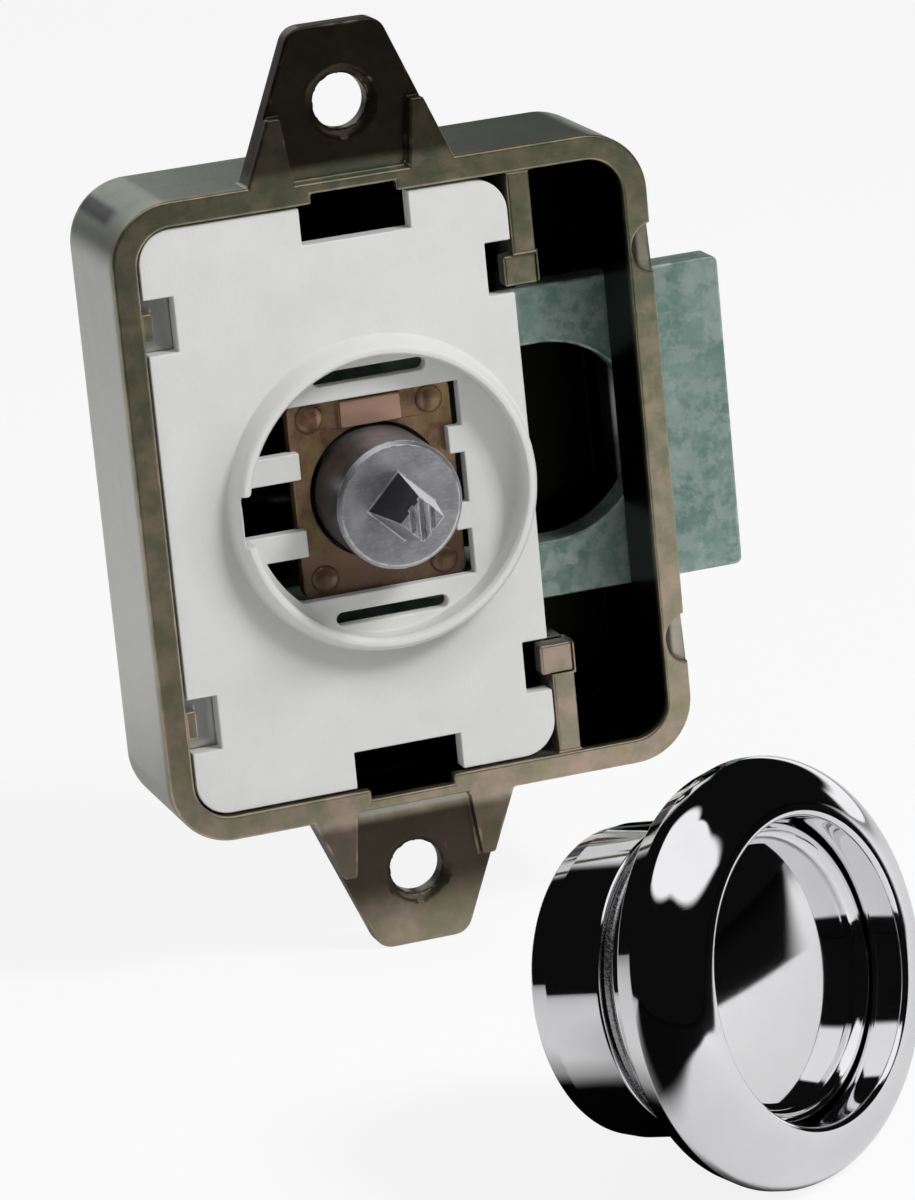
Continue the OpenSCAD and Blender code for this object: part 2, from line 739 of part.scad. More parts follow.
module knob_clip() {
    color([0.5, 0.5, 0.5]) at_rosette() rotate_extrude()
        strip(stem_r - 0.48, liner_r - 0.3, clip_front - clip_t, clip_front);
}

lock_case();
cover_plate();
guide_plate();
guide_rivets();
guide_spacers();
guide_bush();
spindle();
drive_pins();
heart_cam();
cam_pins();
catch_wire();
wire_block();
spindle_spring();
spring_guide_pin();
bolt();
rosette();
rosette_ring();
rosette_liner();
push_knob();
knob_insert();
knob_clip();
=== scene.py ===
"""Looks of a push button cabinet lock: cast case, white cover, zinc bolt and spindle, and the loose
chromed rosette with its push knob. Lengths named here are in millimetres unless they say otherwise."""
import math

import bmesh
import bpy
from mathutils import Matrix, Vector
from mathutils.geometry import delaunay_2d_cdt


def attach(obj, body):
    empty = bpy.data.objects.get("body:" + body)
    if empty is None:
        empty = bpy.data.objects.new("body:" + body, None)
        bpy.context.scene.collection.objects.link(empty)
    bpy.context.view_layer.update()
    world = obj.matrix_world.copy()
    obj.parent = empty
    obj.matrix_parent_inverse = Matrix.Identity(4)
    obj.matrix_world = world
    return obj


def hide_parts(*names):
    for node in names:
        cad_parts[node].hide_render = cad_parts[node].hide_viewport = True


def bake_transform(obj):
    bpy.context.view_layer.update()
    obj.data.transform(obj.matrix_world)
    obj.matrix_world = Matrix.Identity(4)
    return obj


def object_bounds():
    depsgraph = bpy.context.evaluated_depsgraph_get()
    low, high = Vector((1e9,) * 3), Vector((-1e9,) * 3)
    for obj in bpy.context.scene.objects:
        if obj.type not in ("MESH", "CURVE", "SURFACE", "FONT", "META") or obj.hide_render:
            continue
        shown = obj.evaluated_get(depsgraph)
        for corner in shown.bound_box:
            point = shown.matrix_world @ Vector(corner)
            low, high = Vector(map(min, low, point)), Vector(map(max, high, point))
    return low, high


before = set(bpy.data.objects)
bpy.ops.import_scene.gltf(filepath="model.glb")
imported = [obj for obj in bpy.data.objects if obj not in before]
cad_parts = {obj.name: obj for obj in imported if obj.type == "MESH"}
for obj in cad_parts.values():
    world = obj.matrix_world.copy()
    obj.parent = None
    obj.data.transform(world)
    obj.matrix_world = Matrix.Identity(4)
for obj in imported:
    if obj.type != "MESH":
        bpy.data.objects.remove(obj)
cad_low, cad_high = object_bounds()

MM = 0.001

# Edge easing of the cast, moulded and stamped pieces
WELD = 0.012
FLAT_ANGLE = 0.5
SHARP_ANGLE = 28
EASE_STEPS = 3
SAME_SIDE = 0.64
EASE_ROOM = 2.2
CDT_GAP = 1e-6
CASE_EASE = 0.22
COVER_EASE = 0.12
BOLT_EASE = 0.25
PLATE_EASE = 0.1
SPINDLE_EASE = 0.1

# Where the finish of the lock's pieces changes and where light and shade are painted on them, and the size of
# the plating's flakes
CASE_LEFT = -18.0
CASE_RIGHT = 22.2
CASE_TOP = 24.0
HALF_WALL = 1.0
BACK_MIDDLE = 14.3
WALL_TOP = 26.0
EAR_END = 37.75
EAR_TIP = 6.0
HOLLOW_FROM = 4.25
HOLLOW_SOFT = 1.25
CHAMBER_LEFT = 14.6
CHAMBER_FROM = 0.6
POCKET_SIDE = 6.3
POCKET_FROM = 0.8
POCKET_TO = 8.8
POCKET_LOW = 22.75
POCKET_HIGH = 25.8
TAB_FRONT = 1.4
TAB_SIDE = 4.45
SPINDLE_FACE = -4.4
COLLAR_FOOT = 12.9
FOOT_SHADE = 5.0
SHADED_SIDE = (-0.6, -0.8)
MASK_SOFT = 0.2
FLAKE = 0.7

# Rosette and knob, along their own axis from the flange's front edge
ROSETTE_PLACE = (6.37, -63.4)
ROSETTE_TURN = 33.6
ROSETTE_TILT = 10.3
FLANGE_R = 15.4
FLANGE_EDGE = 2.6
FLANGE_TAPER = 0.6
EDGE_FRONT = FLANGE_EDGE / 3
BARREL_R = 11.35
BARREL_END = -13.45
LEAD_L = 1.6
LEAD_IN = 0.25
GROOVE_REAR = -7.0
GROOVE_FRONT = -5.8
GROOVE_R = 10.55
CREST_H = 3.2
CREST_R = 11.65
BULL_R = 3.797
BULL_STEPS = 28
LIP_R = 11.35
LIP_SOFT = 0.4
LIP_STEPS = 10
MOUTH_R = 10.95
SHOULDER = -2.6
LINER_R = 8.6
STEM_R = 8.0
KNOB_R = 10.65
KNOB_TOP = 0.27
HEAD_T = 1.57
FACE_R = 9.7
FACE_SINK = 0.77
FACE_FLARE = 0.5
FACE_LIFT = 0.06
DOME_R = 80.0
DOME_STEPS = 20
STEM_REAR = -13.3
SOCKET_TOP = -3.0
SOCKET_R = 6.98
SOCKET_BORE = 5.28
CLIP_FRONT = -12.1
CLIP_T = 0.8
CLIP_SINK = 0.5
LINER_REAR = -5.6
STEM_PLAY = 0.06
RING_GAP = 0.2
FIT = 0.02
TURN_STEPS = 240
ROUND_STEPS = 6
GUARD = 0.05

# Guide plate's rivets and the spindle's spring
RIVET_X = 5.0
RIVET_Z = 6.6
RIVET_HEAD_R = 1.15
RIVET_SHANK_R = 0.78
RIVET_FRONT = 1.9
RIVET_END = 15.0
RIVET_CROWN = 0.5
SPRING_R = 1.65
SPRING_WIRE_R = 0.25
SPRING_TURNS = 10
SPRING_FRONT = -0.65
SPRING_BACK = 12.85

# White paper on the floor, its edges as polished metal mirrors them, and a painted shadow under the rosette's
# barrel
PAPER = 0.9
PAPER_GLOW = 0.86
PAPER_EDGE = ((-15, -70), (-15, -95), (-5, -127), (24, -163),
              (85, -202), (132, -215), (160, -190), (150, -100))
PAPER_BACK = -62.0
BACK_SLANT = 0.02
EDGE_SOFT = 6.0
SHADE_PLACE = (-1.0, -53.0)
SHADE_R = 15.0
SHADE_SOFT = 2.0
FLOOR_REACH = 3000.0

# The room as polished metal sees it, in degrees: side to the right of straight ahead, and rise over the floor
ROOM = 0.004
OVERHEAD = (-0.2047, 0.0361, 0.9781)
OVERHEAD_REACH = 25.0
CEILING_LOW = 52.5
CEILING_LOW_LEFT = 57.0
LOW_TURN = (8.0, -28.0)
DROP_FROM = -2.0
DROP_SLOPE = 0.55
DROP_ROUND = 25.0
CEILING_LEFT = -95.0
CEILING_RIGHT = 70.0
RIGHT_LEAN = 0.2
FLARE_FROM = 45.0
FLARE = 0.035
JOIN_ROUND = 12.0
CEILING_SOFT = 2.5
WHITE_FROM = 95.0
WHITE_SLOPE = 0.8
WHITE_SOFT = 1.5
WHITE_TOP = (11.0, 6.5)
WHITE_END = (162.0, 156.0)
BEHIND_SIDE = (162.0, 168.0)
BEHIND_TOP = (40.0, 34.0)
BEHIND_SHADE = 0.8

# Lamps, each with its place and size in metres and its watts, and the even sky that matt surfaces see
KEY_LAMP = ((0.36, -0.42, 0.5), 0.2, 3.6)
FILL_LAMP = ((-0.5, -0.35, 0.2), 0.5, 0.5)
LAMP_TARGET = (0, -0.02, 0)
EVEN_SKY = 0.3

# Camera at the photograph's angle
CAMERA_AT = (-132.12, -442.33, 119.14)
CAMERA_RIGHT = (0.94286, -0.31987, -0.09328)
CAMERA_AHEAD = (0.28565, 0.92011, -0.26796)
CAMERA_LENS = 180.708
CAMERA_SENSOR = 36.0


# Section lines and turned pieces

def rosette_axes():
    """Matrix from the rosette's own axes (its third axis out of the face) to the frame, in metres."""
    tilt, turn = math.radians(ROSETTE_TILT), math.radians(ROSETTE_TURN)
    ahead = Vector((math.sin(turn) * math.cos(tilt), -math.cos(turn) * math.cos(tilt), math.sin(tilt)))
    across = Vector((math.cos(turn), math.sin(turn), 0))
    up = ahead.cross(across)
    rise = FLANGE_R * math.cos(tilt) + EDGE_FRONT * math.sin(tilt)
    place = Vector((ROSETTE_PLACE[0] * MM, ROSETTE_PLACE[1] * MM, cad_low.z + rise * MM))
    turned = Matrix((across, up, ahead)).transposed().to_4x4()
    return Matrix.Translation(place) @ turned @ Matrix.Scale(MM, 4)


def rounded(corners):
    """Section line through (radius, height, rounding) corners, with a guard point beside each rounding."""
    line = []
    for i, (radius, height, ease) in enumerate(corners):
        here = Vector((radius, height))
        if not ease:
            line.append(here)
            continue
        back = (Vector(corners[i - 1][:2]) - here).normalized()
        on = (Vector(corners[(i + 1) % len(corners)][:2]) - here).normalized()
        half = back.angle(on) / 2
        reach = ease / math.tan(half)
        centre = here + (back + on).normalized() * (ease / math.sin(half))
        start, end = here + back * reach - centre, here + on * reach - centre
        sweep = math.atan2(start.x * end.y - start.y * end.x, start.dot(end))
        line.append(here + back * (reach + GUARD))
        for k in range(ROUND_STEPS + 1):
            line.append(centre + Matrix.Rotation(sweep * k / ROUND_STEPS, 2) @ start)
        line.append(here + on * (reach + GUARD))
    return line


def arc(centre, radius, first, last, steps):
    """Corners without rounding along an arc, from one angle to another in degrees."""
    angles = [math.radians(first + (last - first) * k / steps) for k in range(steps + 1)]
    return [(centre[0] + radius * math.cos(a), centre[1] + radius * math.sin(a), 0) for a in angles]


def turn_piece(name, line, closed=True):
    """Mesh made by turning a section line about the rosette's axis."""
    bm = bmesh.new()
    rings = []
    for point in line:
        if point.x < GUARD / 10:
            rings.append([bm.verts.new((0, 0, point.y))])
            continue
        angles = [2 * math.pi * k / TURN_STEPS for k in range(TURN_STEPS)]
        rings.append([bm.verts.new((point.x * math.cos(a), point.x * math.sin(a), point.y)) for a in angles])
    pairs = list(zip(rings, rings[1:])) + ([(rings[-1], rings[0])] if closed else [])
    for one, two in pairs:
        for k in range(TURN_STEPS):
            n = (k + 1) % TURN_STEPS
            corner = [one[k % len(one)], one[n % len(one)], two[n % len(two)], two[k % len(two)]]
            bm.faces.new(list(dict.fromkeys(corner)))
    bmesh.ops.recalc_face_normals(bm, faces=bm.faces)
    bm.transform(rosette_axes())
    return finished(name, bm)


def finished(name, bm, smooth=True):
    """Object at the origin from a bmesh, which is freed."""
    mesh = bpy.data.meshes.new(name)
    for face in bm.faces:
        face.smooth = smooth
    bm.to_mesh(mesh)
    bm.free()
    piece = bpy.data.objects.new(name, mesh)
    bpy.context.scene.collection.objects.link(piece)
    return piece


def plain_mesh(piece):
    """Turns a piece with modifiers into a plain mesh."""
    graph = bpy.context.evaluated_depsgraph_get()
    mesh = bpy.data.meshes.new_from_object(piece.evaluated_get(graph))
    piece.modifiers.clear()
    piece.data = mesh
    return piece


def winds_round(outline, point):
    """How often a flat outline winds round a point."""
    turns = 0
    for one, two in zip(outline, outline[1:] + outline[:1]):
        side = (two.x - one.x) * (point.y - one.y) - (two.y - one.y) * (point.x - one.x)
        if one.y <= point.y < two.y and side > 0:
            turns += 1
        elif two.y <= point.y < one.y and side < 0:
            turns -= 1
    return turns


def fill_flat_faces(bm):
    """Splits every many-sided flat face into triangles that keep its outline."""
    for face in [f for f in bm.faces if len(f.verts) > 4]:
        corners = list(face.verts)
        across = face.calc_tangent_edge_pair().normalized()
        up = face.normal.cross(across)
        origin = corners[0].co
        flat = [Vector(((v.co - origin).dot(across), (v.co - origin).dot(up))) / MM for v in corners]
        loop = [list(range(len(flat)))]
        points, _, triangles, sources, _, _ = delaunay_2d_cdt(flat, [], loop, 1, CDT_GAP, True)
        used = []
        for point, source in zip(points, sources):
            if source:
                used.append(corners[source[0]])
            else:
                used.append(bm.verts.new(origin + (across * point.x + up * point.y) * MM))
        for triangle in triangles:
            ends = [used[i] for i in triangle]
            middle = sum((points[i] for i in triangle), Vector((0, 0))) / 3
            if winds_round(flat, middle) > 0 and len(set(ends)) == 3 and not bm.faces.get(ends):
                bm.faces.new(ends, face)
        bm.faces.remove(face)


def can_ease(edge, ease):
    """Whether an edge is sharp and both its faces are deep enough to give up a strip for the easing."""
    if edge.calc_face_angle(0) < math.radians(SHARP_ANGLE):
        return False
    start, along = edge.verts[0].co, (edge.verts[1].co - edge.verts[0].co).normalized()
    for face in edge.link_faces:
        depth = max((v.co - start - along * (v.co - start).dot(along)).length for v in face.verts)
        if depth < EASE_ROOM * ease * MM:
            return False
    return True


def even_normals(mesh):
    """Corner normals led by the broadest faces there, so flat faces stay flat up to their eased edges."""
    breadth = [item.value for item in mesh.attributes["breadth"].data]
    around = {}
    for face in mesh.polygons:
        for corner in face.vertices:
            around.setdefault(corner, []).append((face.normal.copy(), breadth[face.index]))
    normals = []
    for face in mesh.polygons:
        for corner in face.vertices:
            near = [normal * share for normal, share in around[corner] if normal.dot(face.normal) > SAME_SIDE]
            normals.append(sum(near, Vector()).normalized())
    mesh.normals_split_custom_set(normals)


def eased_copy(node, name, ease):
    """Copy of a CAD node with its sharp edges eased; the eased faces carry the attribute 'eased'."""
    bm = bmesh.new()
    bm.from_mesh(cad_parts[node].data)
    bmesh.ops.remove_doubles(bm, verts=bm.verts, dist=WELD * MM)
    bmesh.ops.dissolve_limit(bm, angle_limit=math.radians(FLAT_ANGLE), verts=bm.verts, edges=bm.edges)
    mark = bm.faces.layers.float.new("eased")
    breadth = bm.faces.layers.float.new("breadth")
    sharp = [e for e in bm.edges if can_ease(e, ease)]
    made = bmesh.ops.bevel(bm, geom=sharp, offset=ease * MM, offset_type="OFFSET", segments=EASE_STEPS,
                           profile=0.5, affect="EDGES", clamp_overlap=False)
    for face in made["faces"]:
        face[mark] = 1.0
    bm.normal_update()
    for face in bm.faces:
        face[breadth] = face.calc_area() / MM ** 2
    fill_flat_faces(bm)
    piece = finished(name, bm)
    even_normals(piece.data)
    return piece


# Node trees

def give(tree, socket, value):
    """Links an input to a socket, or sets it to a constant."""
    if isinstance(value, bpy.types.NodeSocket):
        tree.links.new(value, socket)
    else:
        socket.default_value = value


def node(tree, kind, inputs=None, **settings):
    """New node with its settings; an input is a constant or a socket to link."""
    made = tree.nodes.new(kind)
    for key, value in settings.items():
        setattr(made, key, value)
    for key, value in (inputs or {}).items():
        give(tree, made.inputs[key], value)
    return made


def maths(tree, operation, one, two=0.0):
    return node(tree, "ShaderNodeMath", {0: one, 1: two}, operation=operation).outputs[0]


def distance(tree, across, along):
    """Distance from two lengths at right angles."""
    one, two = maths(tree, "MULTIPLY", across, across), maths(tree, "MULTIPLY", along, along)
    return maths(tree, "SQRT", maths(tree, "ADD", one, two))


def ramp(tree, value, low, high, to_low=0.0, to_high=1.0, soft=True):
    """Value mapped from one range to another, clamped."""
    kind = "SMOOTHSTEP" if soft else "LINEAR"
    inputs = {"Value": value, "From Min": low, "From Max": high, "To Min": to_low, "To Max": to_high}
    return node(tree, "ShaderNodeMapRange", inputs, interpolation_type=kind).outputs["Result"]


def above(tree, value, limit, soft=MASK_SOFT):
    """1 above a limit and 0 below it, with a soft step."""
    return ramp(tree, value, (limit - soft) * MM, (limit + soft) * MM)


def below(tree, value, limit, soft=MASK_SOFT):
    """1 below a limit and 0 above it, with a soft step."""
    return ramp(tree, value, (limit + soft) * MM, (limit - soft) * MM)


def blend_colour(tree, share, one, two):
    """Colour between two others, each a socket or its red, green and blue."""
    made = node(tree, "ShaderNodeMix", {"Factor": share}, data_type="RGBA")
    for socket, value in zip([s for s in made.inputs if s.type == "RGBA"], (one, two)):
        give(tree, socket, value if isinstance(value, bpy.types.NodeSocket) else (*value, 1.0))
    return [s for s in made.outputs if s.type == "RGBA"][0]


def effect(name, inputs, outputs):
    """Empty shader group with named inputs and outputs, and the sockets inside it."""
    group = bpy.data.node_groups.new(name, "ShaderNodeTree")
    for label, kind, value in inputs:
        socket = group.interface.new_socket(label, in_out="INPUT", socket_type=kind)
        if value is not None:
            socket.default_value = value
    for label in outputs:
        group.interface.new_socket(label, in_out="OUTPUT", socket_type="NodeSocketFloat")
    return group, node(group, "NodeGroupInput").outputs, node(group, "NodeGroupOutput").inputs


def per_metre(tree, size):
    """Texture scale for a feature size in millimetres."""
    return maths(tree, "DIVIDE", 1000.0, size)


def patches_effect():
    """Cloudy patches of one size, from 0 to 1."""
    group, given, put = effect("cloudy patches", [
        ("Place", "NodeSocketVector", None), ("Patch size", "NodeSocketFloat", 5.0),
        ("Softness", "NodeSocketFloat", 0.2)], ["Mask"])
    noise = node(group, "ShaderNodeTexNoise", {
        "Vector": given["Place"], "Scale": per_metre(group, given["Patch size"]),
        "Detail": 4.0, "Roughness": 0.6})
    low = maths(group, "SUBTRACT", 0.5, given["Softness"])
    high = maths(group, "ADD", 0.5, given["Softness"])
    group.links.new(ramp(group, noise.outputs["Fac"], low, high), put["Mask"])
    return group


def grain_effect():
    """Fine skin of a casting or moulding, as a height around 0.5."""
    group, given, put = effect("fine grain", [
        ("Place", "NodeSocketVector", None), ("Grain size", "NodeSocketFloat", 0.3)], ["Height"])
    fine = node(group, "ShaderNodeTexNoise", {
        "Vector": given["Place"], "Scale": per_metre(group, given["Grain size"]), "Detail": 3.0})
    wide_size = maths(group, "MULTIPLY", given["Grain size"], 5.0)
    wide = node(group, "ShaderNodeTexNoise", {
        "Vector": given["Place"], "Scale": per_metre(group, wide_size), "Detail": 2.0})
    both = maths(group, "ADD", maths(group, "MULTIPLY", fine.outputs["Fac"], 0.6),
                 maths(group, "MULTIPLY", wide.outputs["Fac"], 0.4))
    group.links.new(both, put["Height"])
    return group


def hairlines_effect():
    """Thin straight marks along one axis of the piece, as a mask."""
    group, given, put = effect("hairlines", [
        ("Place", "NodeSocketVector", None), ("Stretch", "NodeSocketVector", (1.0, 1.0, 1.0)),
        ("Share", "NodeSocketFloat", 0.4)], ["Mask"])
    both = {0: given["Place"], 1: given["Stretch"]}
    stretched = node(group, "ShaderNodeVectorMath", both, operation="MULTIPLY")
    noise = node(group, "ShaderNodeTexNoise", {
        "Vector": stretched.outputs[0], "Scale": 1 / MM, "Detail": 3.0, "Roughness": 0.7})
    edge = maths(group, "SUBTRACT", 0.75, maths(group, "MULTIPLY", given["Share"], 0.5))
    group.links.new(ramp(group, noise.outputs["Fac"], edge, maths(group, "ADD", edge, 0.1)), put["Mask"])
    return group


def wear_effect():
    """Rubbed edges: the eased faces, broken up along their length."""
    group, given, put = effect("rubbed edges", [
        ("Place", "NodeSocketVector", None), ("Patch size", "NodeSocketFloat", 2.0),
        ("Amount", "NodeSocketFloat", 0.6)], ["Mask"])
    eased = node(group, "ShaderNodeAttribute", attribute_name="eased").outputs["Fac"]
    noise = node(group, "ShaderNodeTexNoise", {
        "Vector": given["Place"], "Scale": per_metre(group, given["Patch size"]), "Detail": 3.0})
    level = maths(group, "SUBTRACT", 0.8, maths(group, "MULTIPLY", given["Amount"], 0.6))
    broken = ramp(group, noise.outputs["Fac"], level, maths(group, "ADD", level, 0.25))
    group.links.new(maths(group, "MULTIPLY", eased, broken), put["Mask"])
    return group


PATCHES = patches_effect()
GRAIN = grain_effect()
HAIRLINES = hairlines_effect()
WEAR = wear_effect()


class Finish:
    """A material in the making: its tree, its shader and the piece's own coordinates."""

    def __init__(self, name):
        self.material = bpy.data.materials.new(name)
        self.material.use_nodes = True
        self.tree = self.material.node_tree
        self.tree.nodes.clear()
        self.shader = node(self.tree, "ShaderNodeBsdfPrincipled")
        out = node(self.tree, "ShaderNodeOutputMaterial")
        self.tree.links.new(self.shader.outputs[0], out.inputs["Surface"])
        self.place = node(self.tree, "ShaderNodeTexCoord").outputs["Object"]

    def axes(self):
        """X, Y and Z of the piece's own coordinates."""
        return node(self.tree, "ShaderNodeSeparateXYZ", {0: self.place}).outputs

    def use(self, group, output, **inputs):
        """Output of a shared effect, laid over the piece."""
        named = {key.replace("_", " "): value for key, value in inputs.items()}
        made = node(self.tree, "ShaderNodeGroup", {"Place": self.place, **named}, node_tree=group)
        return made.outputs[output]

    def patches(self, size, softness):
        return self.use(PATCHES, "Mask", Patch_size=size, Softness=softness)

    def grain(self, size):
        return self.use(GRAIN, "Height", Grain_size=size)

    def hairlines(self, stretch, share):
        return self.use(HAIRLINES, "Mask", Stretch=stretch, Share=share)

    def wear(self, size, amount):
        return self.use(WEAR, "Mask", Patch_size=size, Amount=amount)

    def mix(self, share, one, two):
        return blend_colour(self.tree, share, one, two)

    def level(self, value, low, high):
        return ramp(self.tree, value, 0.0, 1.0, low, high, soft=False)

    def times(self, first, *others):
        for other in others:
            first = maths(self.tree, "MULTIPLY", first, other)
        return first

    def plus(self, one, two):
        return maths(self.tree, "ADD", one, two)

    def set(self, **inputs):
        for key, value in inputs.items():
            give(self.tree, self.shader.inputs[key.replace("_", " ")], value)

    def bump(self, height, depth):
        made = node(self.tree, "ShaderNodeBump", {"Strength": 1.0, "Distance": depth * MM, "Height": height})
        self.tree.links.new(made.outputs["Normal"], self.shader.inputs["Normal"])


# Finishes

def hollow_painted_shade(finish):
    """Where shade is painted: 1 deep inside the case, in the bolt's chamber and in the pockets at the ears, 0
    elsewhere.
    """
    tree, place = finish.tree, finish.axes()
    side, height = maths(tree, "ABSOLUTE", place["X"]), maths(tree, "ABSOLUTE", place["Z"])
    inside = finish.times(
        below(tree, place["X"], CASE_RIGHT + HALF_WALL), above(tree, place["X"], CASE_LEFT - HALF_WALL),
        below(tree, height, CASE_TOP + HALF_WALL), below(tree, place["Y"], BACK_MIDDLE))
    deep = above(tree, place["Y"], HOLLOW_FROM, HOLLOW_SOFT)
    chamber = finish.times(
        above(tree, place["X"], CHAMBER_LEFT, 0.3), above(tree, place["Y"], CHAMBER_FROM, 0.4))
    pocket = finish.times(
        below(tree, side, POCKET_SIDE),
        above(tree, place["Y"], POCKET_FROM), below(tree, place["Y"], POCKET_TO),
        above(tree, height, POCKET_LOW, 0.25), below(tree, height, POCKET_HIGH, 0.1))
    return maths(tree, "MAXIMUM", finish.times(inside, maths(tree, "MAXIMUM", deep, chamber)), pocket)


def case_sides(finish):
    """1 on the walls behind the rim, 0 on the rim and the ears."""
    tree, place = finish.tree, finish.axes()
    behind = ramp(tree, place["Y"], 0.4 * MM, 1.5 * MM)
    return finish.times(behind, below(tree, maths(tree, "ABSOLUTE", place["Z"]), WALL_TOP + 0.4))


def ear_painted_shade(finish):
    """How far the ears are darkened with painted shade: the sunk panels most, the cheeks less and the lower
    tip least.
    """
    tree, place = finish.tree, finish.axes()
    sunk = ramp(tree, place["Y"], 0.5 * MM, 0.8 * MM, 0.75, 1.0)
    beyond = above(tree, maths(tree, "ABSOLUTE", place["Z"]), WALL_TOP + 0.7, 0.5)
    tip = ramp(tree, place["Z"], -EAR_END * MM, (EAR_TIP - EAR_END) * MM, 0.1, 1.0)
    return finish.times(sunk, beyond, tip)


def chromated_case():
    """Yellow chromated zinc: olive above, bronze and pink below, partly as painted light; walls painted pale
    as a painted reflection and darker near the top as painted shade; ears and hollow darkened with painted
    shade.
    """
    olive, bronze, pink = (0.36, 0.32, 0.21), (0.52, 0.43, 0.30), (0.72, 0.52, 0.47)
    green, pale, top_wall_shade_tone = (0.21, 0.25, 0.16), (0.74, 0.75, 0.73), (0.22, 0.27, 0.22)
    brown, rubbed, painted_dark = (0.030, 0.022, 0.014), (0.66, 0.50, 0.37), (0.004, 0.004, 0.003)
    finish = Finish("yellow chromated zinc")
    tree, height = finish.tree, finish.axes()["Z"]
    # Painted light and shade by height: paler and pinker towards the bottom, greener and darker at the top,
    # partly the plating's own tone
    low = ramp(tree, height, 20.0 * MM, -WALL_TOP * MM)
    # Painted shade on the walls near the top
    top = ramp(tree, height, (WALL_TOP - 6.0) * MM, (WALL_TOP - 0.5) * MM)
    colour = finish.mix(finish.patches(7.0, 0.25), olive, bronze)
    colour = finish.mix(finish.times(finish.patches(4.2, 0.13), low, 0.55), colour, pink)
    top_green_and_shade = ramp(tree, low, 0.0, 1.0, 0.8, 0.45)
    colour = finish.mix(finish.times(finish.patches(2.4, 0.14), top_green_and_shade), colour, green)
    # Painted reflection: the walls behind the rim painted pale; painted shade: darker towards the top
    colour = finish.mix(finish.times(case_sides(finish), 0.85), colour, finish.mix(top, pale, top_wall_shade_tone))
    # Painted shade: the ears darkened to brown, most on the sunk panels and least at the lower tip
    colour = finish.mix(finish.times(ear_painted_shade(finish), 0.93), colour, brown)
    colour = finish.mix(finish.times(finish.wear(2.2, 0.5), 0.45), colour, rubbed)
    # Painted shade: near black deep in the hollows
    colour = finish.mix(hollow_painted_shade(finish), colour, painted_dark)
    grain = finish.grain(0.35)
    finish.set(Base_Color=colour, Metallic=0.9, Roughness=finish.level(grain, 0.22, 0.42))
    finish.bump(grain, 0.02)
    return finish.material


def collar_foot(finish):
    """Painted shade at the foot of the cover's collar: 1 at its foot on the side away from the key lamp, and
    0 away from it.
    """
    tree, place = finish.tree, finish.axes()
    away = distance(tree, place["X"], place["Z"])
    lean = maths(tree, "ADD", maths(tree, "MULTIPLY", place["X"], SHADED_SIDE[0]),
                 maths(tree, "MULTIPLY", place["Z"], SHADED_SIDE[1]))
    turned = ramp(tree, maths(tree, "DIVIDE", lean, away), -0.1, 0.8)
    near = ramp(tree, away, (COLLAR_FOOT + FOOT_SHADE) * MM, COLLAR_FOOT * MM)
    return finish.times(near, above(tree, away, COLLAR_FOOT - MASK_SOFT), turned)


def white_cover():
    """Matt white moulded plastic with a faint cloud, a fine skin and a painted shade at the collar's foot."""
    warm, white, shade = (0.73, 0.73, 0.71), (0.78, 0.78, 0.765), (0.36, 0.36, 0.36)
    finish = Finish("matt white plastic")
    colour = finish.mix(finish.patches(6.0, 0.25), warm, white)
    colour = finish.mix(finish.times(collar_foot(finish), 0.42), colour, shade)
    grain = finish.grain(0.25)
    finish.set(Base_Color=colour, Roughness=finish.level(grain, 0.42, 0.66))
    finish.bump(grain, 0.02)
    return finish.material


def coppered_plate():
    """Coppered steel strip with rolling marks, browned and gilded in places, pinkish on the raised tab, and
    with a painted shade over its lower part.
    """
    brown, copper, gilt = (0.20, 0.11, 0.065), (0.46, 0.28, 0.18), (0.42, 0.33, 0.12)
    rolled, pink, rubbed, dark = (0.6, 0.4, 0.28), (0.74, 0.46, 0.36), (0.7, 0.48, 0.36), (0.08, 0.045, 0.035)
    finish = Finish("coppered steel")
    tree, place = finish.tree, finish.axes()
    colour = finish.mix(finish.patches(3.2, 0.12), brown, copper)
    colour = finish.mix(finish.times(finish.patches(2.2, 0.08), 0.45), colour, gilt)
    lines = finish.hairlines((8.0, 8.0, 0.6), 0.45)
    colour = finish.mix(finish.times(lines, 0.25), colour, rolled)
    tab = finish.times(below(tree, place["Y"], TAB_FRONT + 0.2, 0.1),
                       below(tree, maths(tree, "ABSOLUTE", place["X"]), TAB_SIDE, 0.15))
    colour = finish.mix(finish.times(tab, 0.8), colour, pink)
    colour = finish.mix(finish.times(finish.wear(1.0, 0.6), 0.5), colour, rubbed)
    # Painted shade: darker towards the lower part of the plate, below the spindle
    colour = finish.mix(ramp(tree, place["Z"], 0.0, -7.0 * MM, 0.0, 0.75), colour, dark)
    finish.set(Base_Color=colour, Metallic=0.65, Roughness=finish.level(lines, 0.3, 0.5))
    finish.bump(finish.plus(finish.grain(0.2), finish.times(lines, 0.3)), 0.012)
    return finish.material


def spindle_painted_light(finish):
    """Where shade is painted on the spindle, on its left flank and its nib's left side, and where a highlight
    is painted, on the nib's right side.
    """
    tree, along = finish.tree, finish.axes()["Y"]
    normal = node(tree, "ShaderNodeTexCoord").outputs["Normal"]
    facing = node(tree, "ShaderNodeSeparateXYZ", {0: normal}).outputs
    nib = below(tree, along, SPINDLE_FACE - 0.15, 0.1)
    left = ramp(tree, maths(tree, "SUBTRACT", facing["Z"], facing["X"]), 1.12, 1.25, 0.0, 0.9)
    right = ramp(tree, maths(tree, "ADD", facing["Z"], facing["X"]), 1.12, 1.25)
    flank = finish.times(above(tree, along, SPINDLE_FACE + 0.25, 0.25),
                         ramp(tree, facing["X"], -0.1, -0.75, 0.0, 0.7))
    return finish.plus(finish.times(nib, left), flank), finish.times(nib, right)


